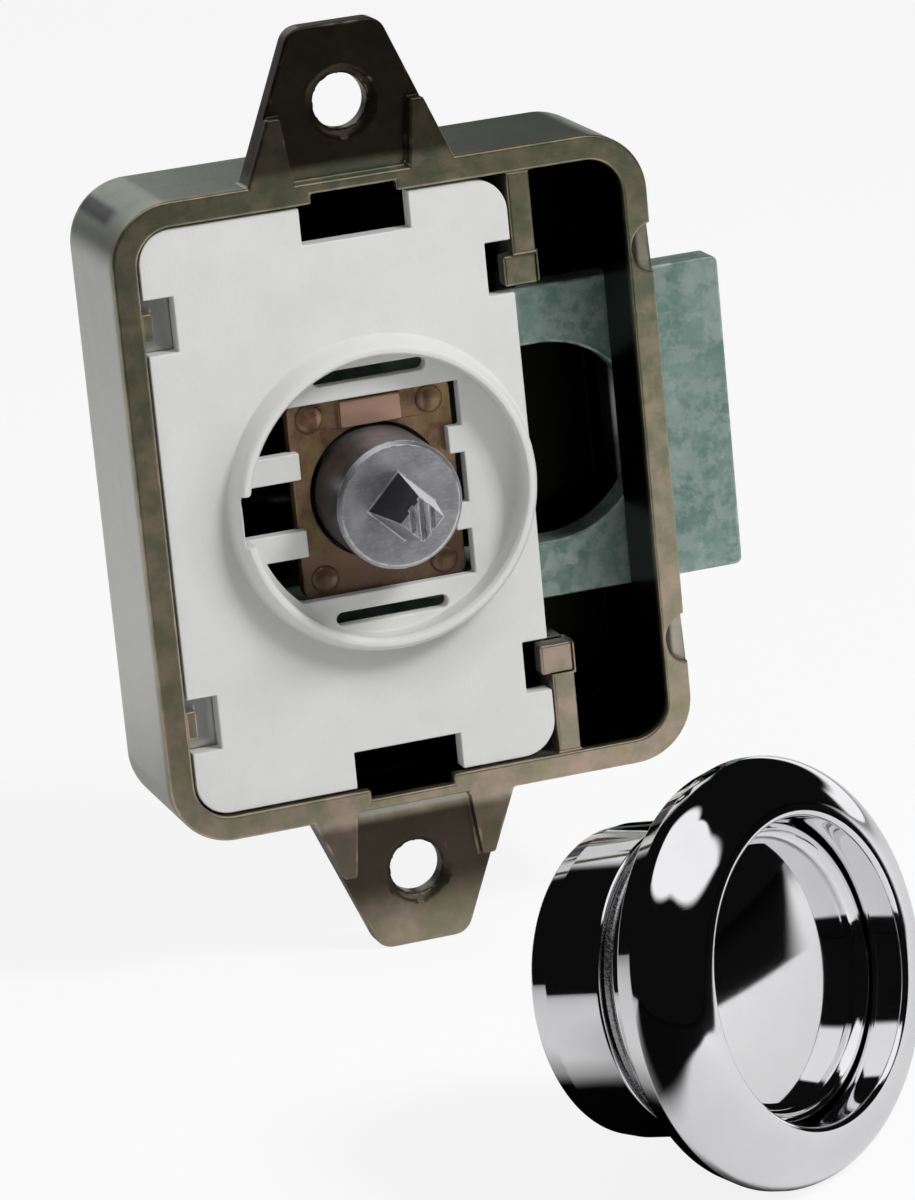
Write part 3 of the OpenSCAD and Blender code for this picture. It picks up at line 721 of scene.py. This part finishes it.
def bare_zinc():
    """Bare zinc casting: a smeared, handled skin with lighter and greyer places and bright edges, painted
    shade on its left flank and nib's left side, and a painted highlight on the nib's right side.
    """
    light, grey, smear, edge = (0.58, 0.58, 0.60), (0.34, 0.34, 0.36), (0.74, 0.74, 0.76), (0.85, 0.85, 0.87)
    dark, bright = (0.035, 0.035, 0.04), (0.95, 0.95, 0.96)
    finish = Finish("bare cast zinc")
    smears = finish.hairlines((1.2, 1.2, 4.0), 0.4)
    colour = finish.mix(finish.patches(1.8, 0.3), light, grey)
    colour = finish.mix(finish.times(smears, 0.4), colour, smear)
    colour = finish.mix(finish.times(finish.wear(0.8, 0.8), 0.8), colour, edge)
    # Painted shade on the left flank and the nib's left side, and a painted highlight, less metallic, on the
    # nib's right side
    painted_dark, rubbed = spindle_painted_light(finish)
    colour = finish.mix(rubbed, finish.mix(painted_dark, colour, dark), bright)
    grain = finish.grain(0.28)
    rough = finish.level(grain, 0.26, 0.42)
    finish.set(Base_Color=colour, Metallic=finish.level(rubbed, 0.8, 0.2), Roughness=rough)
    finish.bump(grain, 0.008)
    return finish.material


def plated_bolt():
    """Blue-green zinc plating: soft clouds, a small crystalline mottle and a few rubbed places."""
    deep, light, flaked = (0.17, 0.27, 0.24), (0.29, 0.40, 0.36), (0.22, 0.38, 0.33)
    pale, rubbed = (0.46, 0.53, 0.50), (0.62, 0.68, 0.64)
    finish = Finish("blue zinc plating")
    cells = node(finish.tree, "ShaderNodeTexVoronoi", {
        "Vector": finish.place, "Scale": 1 / (FLAKE * MM), "Randomness": 1.0})
    flake = node(finish.tree, "ShaderNodeSeparateColor", {0: cells.outputs["Color"]}).outputs[0]
    colour = finish.mix(finish.patches(4.5, 0.14), deep, light)
    colour = finish.mix(finish.times(flake, 0.45), colour, flaked)
    colour = finish.mix(finish.times(finish.patches(1.3, 0.1), 0.55), colour, pale)
    colour = finish.mix(finish.times(finish.wear(1.5, 0.6), 0.7), colour, rubbed)
    finish.set(Base_Color=colour, Metallic=0.5, Roughness=finish.level(flake, 0.3, 0.52))
    finish.bump(finish.plus(finish.grain(0.3), finish.times(flake, 0.2)), 0.02)
    return finish.material


def polished_chrome():
    """Mirror chrome, with faint wiping marks and hairlines."""
    finish = Finish("polished chrome")
    smear = finish.patches(7.0, 0.3)
    lines = finish.hairlines((0.5, 6.0, 6.0), 0.25)
    colour = finish.mix(smear, (0.86, 0.86, 0.87), (0.8, 0.8, 0.82))
    rough = finish.plus(finish.level(smear, 0.025, 0.06), finish.times(lines, 0.04))
    finish.set(Base_Color=colour, Metallic=1.0, Roughness=rough)
    finish.bump(finish.times(lines, 0.5), 0.0004)
    return finish.material


def drawn_steel(name, colour, bright, rough):
    """Drawn or turned steel with fine marks."""
    finish = Finish(name)
    lines = finish.hairlines((7.0, 0.5, 7.0), 0.5)
    tone = finish.mix(finish.times(finish.patches(1.5, 0.2), 0.5), colour, bright)
    tone = finish.mix(finish.times(lines, 0.35), tone, bright)
    finish.set(Base_Color=tone, Metallic=0.95, Roughness=finish.level(lines, rough, rough + 0.2))
    finish.bump(finish.plus(finish.grain(0.15), finish.times(lines, 0.4)), 0.012)
    return finish.material


def black_nylon():
    """Black moulded nylon with a soft sheen and grey scuffs."""
    black, scuffed = (0.012, 0.012, 0.013), (0.04, 0.04, 0.042)
    finish = Finish("black nylon")
    colour = finish.mix(finish.times(finish.patches(1.8, 0.15), 0.5), black, scuffed)
    grain = finish.grain(0.2)
    finish.set(Base_Color=colour, Roughness=finish.level(grain, 0.38, 0.62))
    finish.bump(grain, 0.02)
    return finish.material


# Pieces

def dress(piece, material, body, slot, *nodes):
    """Gives a new piece its material and body, in place of its CAD nodes; its record slot is not used."""
    piece.data.materials.clear()
    piece.data.materials.append(material)
    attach(piece, body)
    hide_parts(*nodes)


def dress_node(name, material):
    """Gives a hidden CAD node its material and leaves its mesh as it is."""
    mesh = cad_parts[name].data
    mesh.materials.clear()
    mesh.materials.append(material)


def rosette_section():
    """Barrel with its groove, bull-nosed flange and mouth, as (radius, height, rounding) corners."""
    bull_foot = math.degrees(math.asin((BULL_R - CREST_H) / BULL_R))
    bull = arc((CREST_R, CREST_H - BULL_R), BULL_R, bull_foot, 90, BULL_STEPS)
    return rounded([
        (LINER_R, BARREL_END, 0.15), (BARREL_R - LEAD_IN, BARREL_END, 0.25),
        (BARREL_R, BARREL_END + LEAD_L, 0.5), (BARREL_R, GROOVE_REAR, 0.22),
        (GROOVE_R, GROOVE_REAR, 0.1), (GROOVE_R, GROOVE_FRONT, 0.1),
        (BARREL_R, GROOVE_FRONT, 0.12), (BARREL_R, -FLANGE_EDGE, 0.3),
        (FLANGE_R - FLANGE_TAPER, -FLANGE_EDGE, 0.35), (FLANGE_R, -EDGE_FRONT, 0.6),
        *bull,
        *arc((LIP_R, CREST_H - LIP_SOFT), LIP_SOFT, 90, 180, LIP_STEPS),
        (MOUTH_R, SHOULDER, 0.2), (LINER_R, SHOULDER, 0.15)])


def knob_section():
    """Slightly domed face in a raised edge, stem with the snap ring's groove, and socket."""
    edge = KNOB_TOP - FACE_SINK
    dome_top = edge + FACE_LIFT + DOME_R - math.sqrt(DOME_R ** 2 - FACE_R ** 2)
    radii = [(FACE_R - GUARD) * k / DOME_STEPS for k in range(DOME_STEPS + 1)]
    groove_r, groove_front, groove_rear = STEM_R - CLIP_SINK, CLIP_FRONT + FIT, CLIP_FRONT - CLIP_T - FIT
    return rounded([
        *((r, dome_top - DOME_R + math.sqrt(DOME_R ** 2 - r ** 2), 0) for r in radii),
        (FACE_R, edge, 0), (FACE_R + FACE_FLARE, KNOB_TOP, 0.08), (KNOB_R, KNOB_TOP, 0.22),
        (KNOB_R, KNOB_TOP - HEAD_T, 0.2), (STEM_R, KNOB_TOP - HEAD_T, 0.2),
        (STEM_R, groove_front, 0.08), (groove_r, groove_front, 0.08),
        (groove_r, groove_rear, 0.08), (STEM_R, groove_rear, 0.08),
        (STEM_R, STEM_REAR, 0.15), (SOCKET_R, STEM_REAR, 0.12), (SOCKET_R, SOCKET_TOP, 0.2),
        (0, SOCKET_TOP, 0)])


def sleeve_section(inner, outer, rear, front, ease):
    """Plain ring or sleeve with all its edges eased."""
    return rounded([(inner, rear, ease), (outer, rear, ease), (outer, front, ease), (inner, front, ease)])


def build_rosette(chrome, steel, nylon):
    """The rosette with its ring and sleeve, and the push knob with its socket and snap ring."""
    ring = sleeve_section(
        GROOVE_R + FIT, BARREL_R - RING_GAP, GROOVE_REAR + RING_GAP, GROOVE_FRONT - RING_GAP, 0.25)
    liner = sleeve_section(STEM_R + STEM_PLAY, LINER_R - FIT, LINER_REAR, SHOULDER - 0.1, 0.1)
    socket = sleeve_section(SOCKET_BORE, SOCKET_R - FIT, STEM_REAR + 0.25, SOCKET_TOP, 0.15)
    clip = sleeve_section(STEM_R - CLIP_SINK + FIT, LINER_R - 0.3, CLIP_FRONT - CLIP_T, CLIP_FRONT, 0.12)
    dress(turn_piece("rosette_shell", rosette_section()), chrome, "lock", "chrome", "rosette")
    dress(turn_piece("groove_ring", ring), steel, "lock", "steel", "rosette_ring")
    dress(turn_piece("rosette_sleeve", liner), nylon, "lock", "black_nylon", "rosette_liner")
    dress(turn_piece("push_knob_head", knob_section(), closed=False), chrome, "knob", "chrome", "push_knob")
    dress(turn_piece("knob_socket", socket), nylon, "knob", "black_nylon", "knob_insert")
    dress(turn_piece("knob_snap_ring", clip), steel, "knob", "steel", "knob_clip")


def nodes_tree(name, inputs):
    """Empty Geometry Nodes tree with named size inputs and one mesh output."""
    tree = bpy.data.node_groups.new(name, "GeometryNodeTree")
    tree.interface.new_socket("Geometry", in_out="OUTPUT", socket_type="NodeSocketGeometry")
    for label, value in inputs.items():
        kind = "NodeSocketInt" if isinstance(value, int) else "NodeSocketFloat"
        socket = tree.interface.new_socket(label, in_out="INPUT", socket_type=kind)
        socket.default_value = value
    return tree, node(tree, "NodeGroupInput").outputs


def end_tree(tree, geometry, material):
    """Ends a Geometry Nodes tree with a real, smooth mesh in its material."""
    real = node(tree, "GeometryNodeRealizeInstances", {0: geometry})
    painted = node(tree, "GeometryNodeSetMaterial", {"Geometry": real.outputs[0], "Material": material})
    smooth = node(tree, "GeometryNodeSetShadeSmooth", {0: painted.outputs[0]})
    out = node(tree, "NodeGroupOutput")
    tree.links.new(smooth.outputs[0], out.inputs[0])


def grown(name, tree, inputs):
    """Plain mesh piece from a Geometry Nodes tree with its inputs set."""
    piece = bpy.data.objects.new(name, bpy.data.meshes.new(name))
    bpy.context.scene.collection.objects.link(piece)
    modifier = piece.modifiers.new("grown", "NODES")
    modifier.node_group = tree
    for item in tree.interface.items_tree:
        if item.item_type == "SOCKET" and item.in_out == "INPUT" and item.name in inputs:
            modifier[item.identifier] = inputs[item.name]
    return plain_mesh(piece)


def rivets_tree(material, sizes):
    """Four rivets at the corners of a rectangle: shank and flat domed head, along Y."""
    tree, given = nodes_tree("guide plate rivets", sizes)
    quarter = (math.pi / 2, 0.0, 0.0)
    shank = node(tree, "GeometryNodeMeshCylinder", {
        "Vertices": 32, "Radius": given["Shank radius"],
        "Depth": maths(tree, "SUBTRACT", given["End"], given["Front"])})
    middle = maths(tree, "MULTIPLY", maths(tree, "ADD", given["End"], given["Front"]), 0.5)
    shank = node(tree, "GeometryNodeTransform", {
        "Geometry": shank.outputs["Mesh"], "Rotation": quarter,
        "Translation": node(tree, "ShaderNodeCombineXYZ", {"Y": middle}).outputs[0]})
    ball = node(tree, "GeometryNodeMeshUVSphere", {
        "Segments": 32, "Rings": 24, "Radius": given["Head radius"]})
    flat = maths(tree, "DIVIDE", given["Crown"], given["Head radius"])
    head = node(tree, "GeometryNodeTransform", {
        "Geometry": ball.outputs["Mesh"], "Rotation": quarter,
        "Translation": node(tree, "ShaderNodeCombineXYZ", {"Y": given["Front"]}).outputs[0],
        "Scale": node(tree, "ShaderNodeCombineXYZ", {"X": 1.0, "Y": 1.0, "Z": flat}).outputs[0]})
    rivet = node(tree, "GeometryNodeJoinGeometry")
    tree.links.new(shank.outputs[0], rivet.inputs[0])
    tree.links.new(head.outputs[0], rivet.inputs[0])
    grid = node(tree, "GeometryNodeMeshGrid", {
        "Size X": maths(tree, "MULTIPLY", given["Half width"], 2.0), "Vertices X": 2,
        "Size Y": maths(tree, "MULTIPLY", given["Half height"], 2.0), "Vertices Y": 2})
    upright = node(tree, "GeometryNodeTransform", {"Geometry": grid.outputs["Mesh"], "Rotation": quarter})
    placed = node(tree, "GeometryNodeInstanceOnPoints", {
        "Points": upright.outputs[0], "Instance": rivet.outputs[0]})
    end_tree(tree, placed.outputs[0], material)
    return tree


def build_rivets(material):
    """The four rivets of the guide plate, as one piece."""
    sizes = {"Half width": RIVET_X * MM, "Half height": RIVET_Z * MM, "Shank radius": RIVET_SHANK_R * MM,
             "Head radius": RIVET_HEAD_R * MM, "Crown": RIVET_CROWN * MM, "Front": RIVET_FRONT * MM,
             "End": RIVET_END * MM}
    piece = grown("plate_rivets", rivets_tree(material, sizes), sizes)
    dress(piece, material, "lock", "copper_steel", "guide_rivets")


def spring_tree(material, sizes):
    """Compression spring along Y: round wire on a spiral."""
    tree, given = nodes_tree("spindle spring", sizes)
    length = maths(tree, "SUBTRACT", given["Back"], given["Front"])
    coil = node(tree, "GeometryNodeCurveSpiral", {
        "Resolution": 40, "Rotations": given["Turns"], "Start Radius": given["Coil radius"],
        "End Radius": given["Coil radius"], "Height": length})
    wire = node(tree, "GeometryNodeCurvePrimitiveCircle", {"Resolution": 10, "Radius": given["Wire radius"]})
    tube = node(tree, "GeometryNodeCurveToMesh", {
        "Curve": coil.outputs[0], "Profile Curve": wire.outputs[0], "Fill Caps": True})
    laid = node(tree, "GeometryNodeTransform", {
        "Geometry": tube.outputs[0], "Rotation": (-math.pi / 2, 0.0, 0.0),
        "Translation": node(tree, "ShaderNodeCombineXYZ", {"Y": given["Front"]}).outputs[0]})
    end_tree(tree, laid.outputs[0], material)
    return tree


def build_spring(material):
    """Spring in the spindle's bore, at one fixed length; the real one lengthens as the spindle comes out."""
    sizes = {"Turns": SPRING_TURNS, "Coil radius": SPRING_R * MM, "Wire radius": SPRING_WIRE_R * MM,
             "Front": SPRING_FRONT * MM, "Back": SPRING_BACK * MM}
    piece = grown("coil_spring", spring_tree(material, sizes), sizes)
    piece.data.materials.clear()
    piece.data.materials.append(material)
    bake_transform(piece)
    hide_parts("spindle_spring")


def build_lock(copper, steel, wire, nylon):
    """The pieces of the lock that show, with eased edges, and the finishes of the hidden ones."""
    zinc = bare_zinc()
    case = eased_copy("lock_case", "case_casting", CASE_EASE)
    cover = eased_copy("cover_plate", "white_cover", COVER_EASE)
    guide = eased_copy("guide_plate", "coppered_guide", PLATE_EASE)
    bolt = eased_copy("bolt", "sliding_bolt", BOLT_EASE)
    spindle = eased_copy("spindle", "cast_spindle", SPINDLE_EASE)
    dress(case, chromated_case(), "lock", "case_zinc", "lock_case")
    dress(cover, white_cover(), "lock", "cover_white", "cover_plate")
    dress(guide, copper, "lock", "copper_steel", "guide_plate")
    dress(bolt, plated_bolt(), "bolt", "bolt_zinc", "bolt")
    dress(spindle, zinc, "spindle", "cast_zinc", "spindle")
    dress_node("heart_cam", zinc)
    # Painted shade: the catch wire is given the near-black wire finish
    dress_node("catch_wire", wire)
    for name in ("guide_spacers", "drive_pins", "cam_pins", "spring_guide_pin"):
        dress_node(name, steel)
    for name in ("guide_bush", "wire_block"):
        dress_node(name, nylon)


# Studio

def build_camera():
    """Camera where the photograph was taken from."""
    right, ahead = Vector(CAMERA_RIGHT).normalized(), Vector(CAMERA_AHEAD).normalized()
    up = right.cross(ahead)
    data = bpy.data.cameras.new("camera")
    data.lens = CAMERA_LENS
    data.sensor_width = CAMERA_SENSOR
    data.clip_start, data.clip_end = 0.01, 20
    camera = bpy.data.objects.new("camera", data)
    turn = Matrix((right, up, -ahead)).transposed().to_4x4()
    camera.matrix_world = Matrix.Translation(Vector(CAMERA_AT) * MM) @ turn
    bpy.context.scene.collection.objects.link(camera)
    bpy.context.scene.camera = camera


def inside_edge(tree, place, start, end):
    """1 to the left of a line across the floor, seen from its start, and 0 to its right."""
    run = (Vector(end) - Vector(start)).normalized()
    across = maths(tree, "MULTIPLY", maths(tree, "SUBTRACT", place["Y"], start[1] * MM), run.x)
    along = maths(tree, "MULTIPLY", maths(tree, "SUBTRACT", place["X"], start[0] * MM), run.y)
    return above(tree, maths(tree, "SUBTRACT", across, along), 0.0, EDGE_SOFT)


def barrel_shade(tree, place):
    """Painted shadow on the floor as polished metal sees it: 0 under the rosette's barrel, 1 away from it."""
    across = maths(tree, "SUBTRACT", place["X"], SHADE_PLACE[0] * MM)
    along = maths(tree, "SUBTRACT", place["Y"], SHADE_PLACE[1] * MM)
    return above(tree, distance(tree, across, along), SHADE_R, SHADE_SOFT)


def mirrored_paper(tree):
    """Tone of the floor in polished metal: paper as far as its edges with a painted shadow under the
    rosette's barrel, and the dark room beyond them.
    """
    position = node(tree, "ShaderNodeNewGeometry").outputs["Position"]
    place = node(tree, "ShaderNodeSeparateXYZ", {0: position}).outputs
    lit = 1.0
    for start, end in zip(PAPER_EDGE, PAPER_EDGE[1:]):
        lit = maths(tree, "MULTIPLY", inside_edge(tree, place, start, end), lit)
    slant = maths(tree, "MULTIPLY", maths(tree, "MAXIMUM", place["X"], 0.0), BACK_SLANT)
    back = ramp(tree, maths(tree, "ADD", place["Y"], slant),
                (PAPER_BACK - 2 * EDGE_SOFT) * MM, (PAPER_BACK + EDGE_SOFT) * MM)
    lit = maths(tree, "MULTIPLY", maths(tree, "MAXIMUM", lit, back), barrel_shade(tree, place))
    return blend_colour(tree, lit, (ROOM, ROOM, ROOM), (PAPER, PAPER, PAPER))


def white_paper():
    """White paper that keeps the object's shadow."""
    material = bpy.data.materials.new("white paper")
    material.use_nodes = True
    tree = material.node_tree
    tree.nodes.clear()
    path = node(tree, "ShaderNodeLightPath").outputs
    shade = blend_colour(tree, path["Is Glossy Ray"], (PAPER, PAPER, PAPER), mirrored_paper(tree))
    paper = node(tree, "ShaderNodeBsdfDiffuse", {"Color": shade})
    white = node(tree, "ShaderNodeEmission", {"Color": (1, 1, 1, 1), "Strength": 1.0})
    share = maths(tree, "MULTIPLY", path["Is Camera Ray"], PAPER_GLOW)
    seen = node(tree, "ShaderNodeMixShader", {0: share, 1: paper.outputs[0], 2: white.outputs[0]})
    out = node(tree, "ShaderNodeOutputMaterial")
    tree.links.new(seen.outputs[0], out.inputs["Surface"])
    return material


def build_floor():
    """Level floor under the lowest point of the part."""
    reach = FLOOR_REACH * MM
    plan = ((-reach, -reach), (reach, -reach), (reach, reach), (-reach, reach))
    bm = bmesh.new()
    bm.faces.new([bm.verts.new((x, y, cad_low.z)) for x, y in plan])
    floor = finished("floor", bm, smooth=False)
    floor.data.materials.append(white_paper())


def in_degrees(tree, angle):
    return maths(tree, "MULTIPLY", angle, 180 / math.pi)


def rounded_larger(tree, one, two, reach):
    """The larger of two values, rounded off where they are less than a reach apart."""
    return node(tree, "ShaderNodeMath", {0: one, 1: two, 2: reach}, operation="SMOOTH_MAX").outputs[0]


def white_ceiling(tree, view, side, rise):
    """A round area overhead, joined to a ceiling that comes lower to the right, up to a slanted edge."""
    past = rounded_larger(tree, maths(tree, "SUBTRACT", side, DROP_FROM), 0.0, DROP_ROUND)
    level = maths(tree, "ADD", rise, maths(tree, "MULTIPLY", past, DROP_SLOPE))
    over = maths(tree, "SUBTRACT", level, ramp(tree, side, *LOW_TURN, CEILING_LOW, CEILING_LOW_LEFT))
    high = maths(tree, "MAXIMUM", maths(tree, "SUBTRACT", rise, FLARE_FROM), 0.0)
    flare = maths(tree, "MULTIPLY", maths(tree, "MULTIPLY", high, high), FLARE)
    leaning = maths(tree, "ADD", side, maths(tree, "MULTIPLY", rise, RIGHT_LEAN))
    before_right = maths(tree, "ADD", maths(tree, "SUBTRACT", CEILING_RIGHT, leaning), flare)
    past_left = maths(tree, "SUBTRACT", side, CEILING_LEFT)
    comes_down = maths(tree, "MINIMUM", maths(tree, "MINIMUM", over, before_right), past_left)
    towards = node(tree, "ShaderNodeVectorMath", {0: view, 1: OVERHEAD}, operation="DOT_PRODUCT")
    off = in_degrees(tree, maths(tree, "ARCCOSINE", towards.outputs["Value"]))
    overhead = maths(tree, "SUBTRACT", OVERHEAD_REACH, off)
    both = rounded_larger(tree, overhead, comes_down, JOIN_ROUND)
    return ramp(tree, both, -CEILING_SOFT, CEILING_SOFT)


def white_side(tree, side, rise):
    """A white side to the right that rises towards the back, up to a level top."""
    slope = maths(tree, "MULTIPLY", maths(tree, "SUBTRACT", side, WHITE_FROM), WHITE_SLOPE)
    under = ramp(tree, maths(tree, "SUBTRACT", rise, slope), WHITE_SOFT, -WHITE_SOFT)
    before_end = maths(tree, "MULTIPLY", under, ramp(tree, side, *WHITE_END))
    return maths(tree, "MULTIPLY", before_end, ramp(tree, rise, *WHITE_TOP))


def pale_behind(tree, side, rise):
    """A pale area behind the lock."""
    across = ramp(tree, maths(tree, "ABSOLUTE", side), *BEHIND_SIDE)
    return maths(tree, "MULTIPLY", across, ramp(tree, rise, *BEHIND_TOP, 0.0, BEHIND_SHADE))


def studio_zones(tree):
    """What polished metal sees above the floor: a dark room with white areas."""
    view = node(tree, "ShaderNodeTexCoord").outputs["Generated"]
    part = node(tree, "ShaderNodeSeparateXYZ", {0: view}).outputs
    ahead = maths(tree, "MULTIPLY", part["Y"], -1.0)
    side = in_degrees(tree, maths(tree, "ARCTAN2", part["X"], ahead))
    rise = in_degrees(tree, maths(tree, "ARCSINE", part["Z"]))
    white = maths(tree, "MAXIMUM", white_side(tree, side, rise), pale_behind(tree, side, rise))
    white = maths(tree, "MAXIMUM", white_ceiling(tree, view, side, rise), white)
    return ramp(tree, white, 0.0, 1.0, ROOM, 1.0, soft=False)


def build_world():
    """White to the camera, an even soft sky for matt surfaces and the white areas for polished metal."""
    world = bpy.data.worlds.new("studio")
    bpy.context.scene.world = world
    world.use_nodes = True
    tree = world.node_tree
    tree.nodes.clear()
    path = node(tree, "ShaderNodeLightPath").outputs
    even = node(tree, "ShaderNodeBackground", {"Color": (1, 1, 1, 1), "Strength": EVEN_SKY})
    white = node(tree, "ShaderNodeBackground", {"Color": (1, 1, 1, 1), "Strength": 1.0})
    zones = node(tree, "ShaderNodeBackground", {"Color": studio_zones(tree), "Strength": 1.0})
    seen = node(tree, "ShaderNodeMixShader", {
        0: path["Is Camera Ray"], 1: even.outputs[0], 2: white.outputs[0]})
    whole = node(tree, "ShaderNodeMixShader", {
        0: path["Is Glossy Ray"], 1: seen.outputs[0], 2: zones.outputs[0]})
    out = node(tree, "ShaderNodeOutputWorld")
    tree.links.new(whole.outputs[0], out.inputs["Surface"])


def soft_lamp(name, place, size, watts):
    """Square lamp that lights the part but doesn't show in polished metal; lengths in metres."""
    data = bpy.data.lights.new(name, "AREA")
    data.shape = "SQUARE"
    data.size = size
    data.energy = watts
    lamp = bpy.data.objects.new(name, data)
    lamp.location = place
    lamp.rotation_mode = "QUATERNION"
    lamp.rotation_quaternion = (Vector(LAMP_TARGET) - Vector(place)).to_track_quat("-Z", "Y")
    lamp.visible_glossy = False
    bpy.context.scene.collection.objects.link(lamp)


def build_lamps():
    soft_lamp("key lamp", *KEY_LAMP)
    soft_lamp("fill lamp", *FILL_LAMP)


def main():
    bpy.context.scene.view_settings.view_transform = "Standard"
    build_camera()
    build_world()
    build_lamps()
    build_floor()
    copper = coppered_plate()
    steel = drawn_steel("turned steel", (0.42, 0.42, 0.43), (0.62, 0.62, 0.63), 0.25)
    # Painted shade: the spring wire is made near black, as the catch wire sits in shade inside the case
    wire = drawn_steel("spring wire", (0.05, 0.05, 0.055), (0.12, 0.12, 0.125), 0.45)
    nylon = black_nylon()
    build_lock(copper, steel, wire, nylon)
    build_rivets(copper)
    build_spring(wire)
    build_rosette(polished_chrome(), steel, nylon)


main()
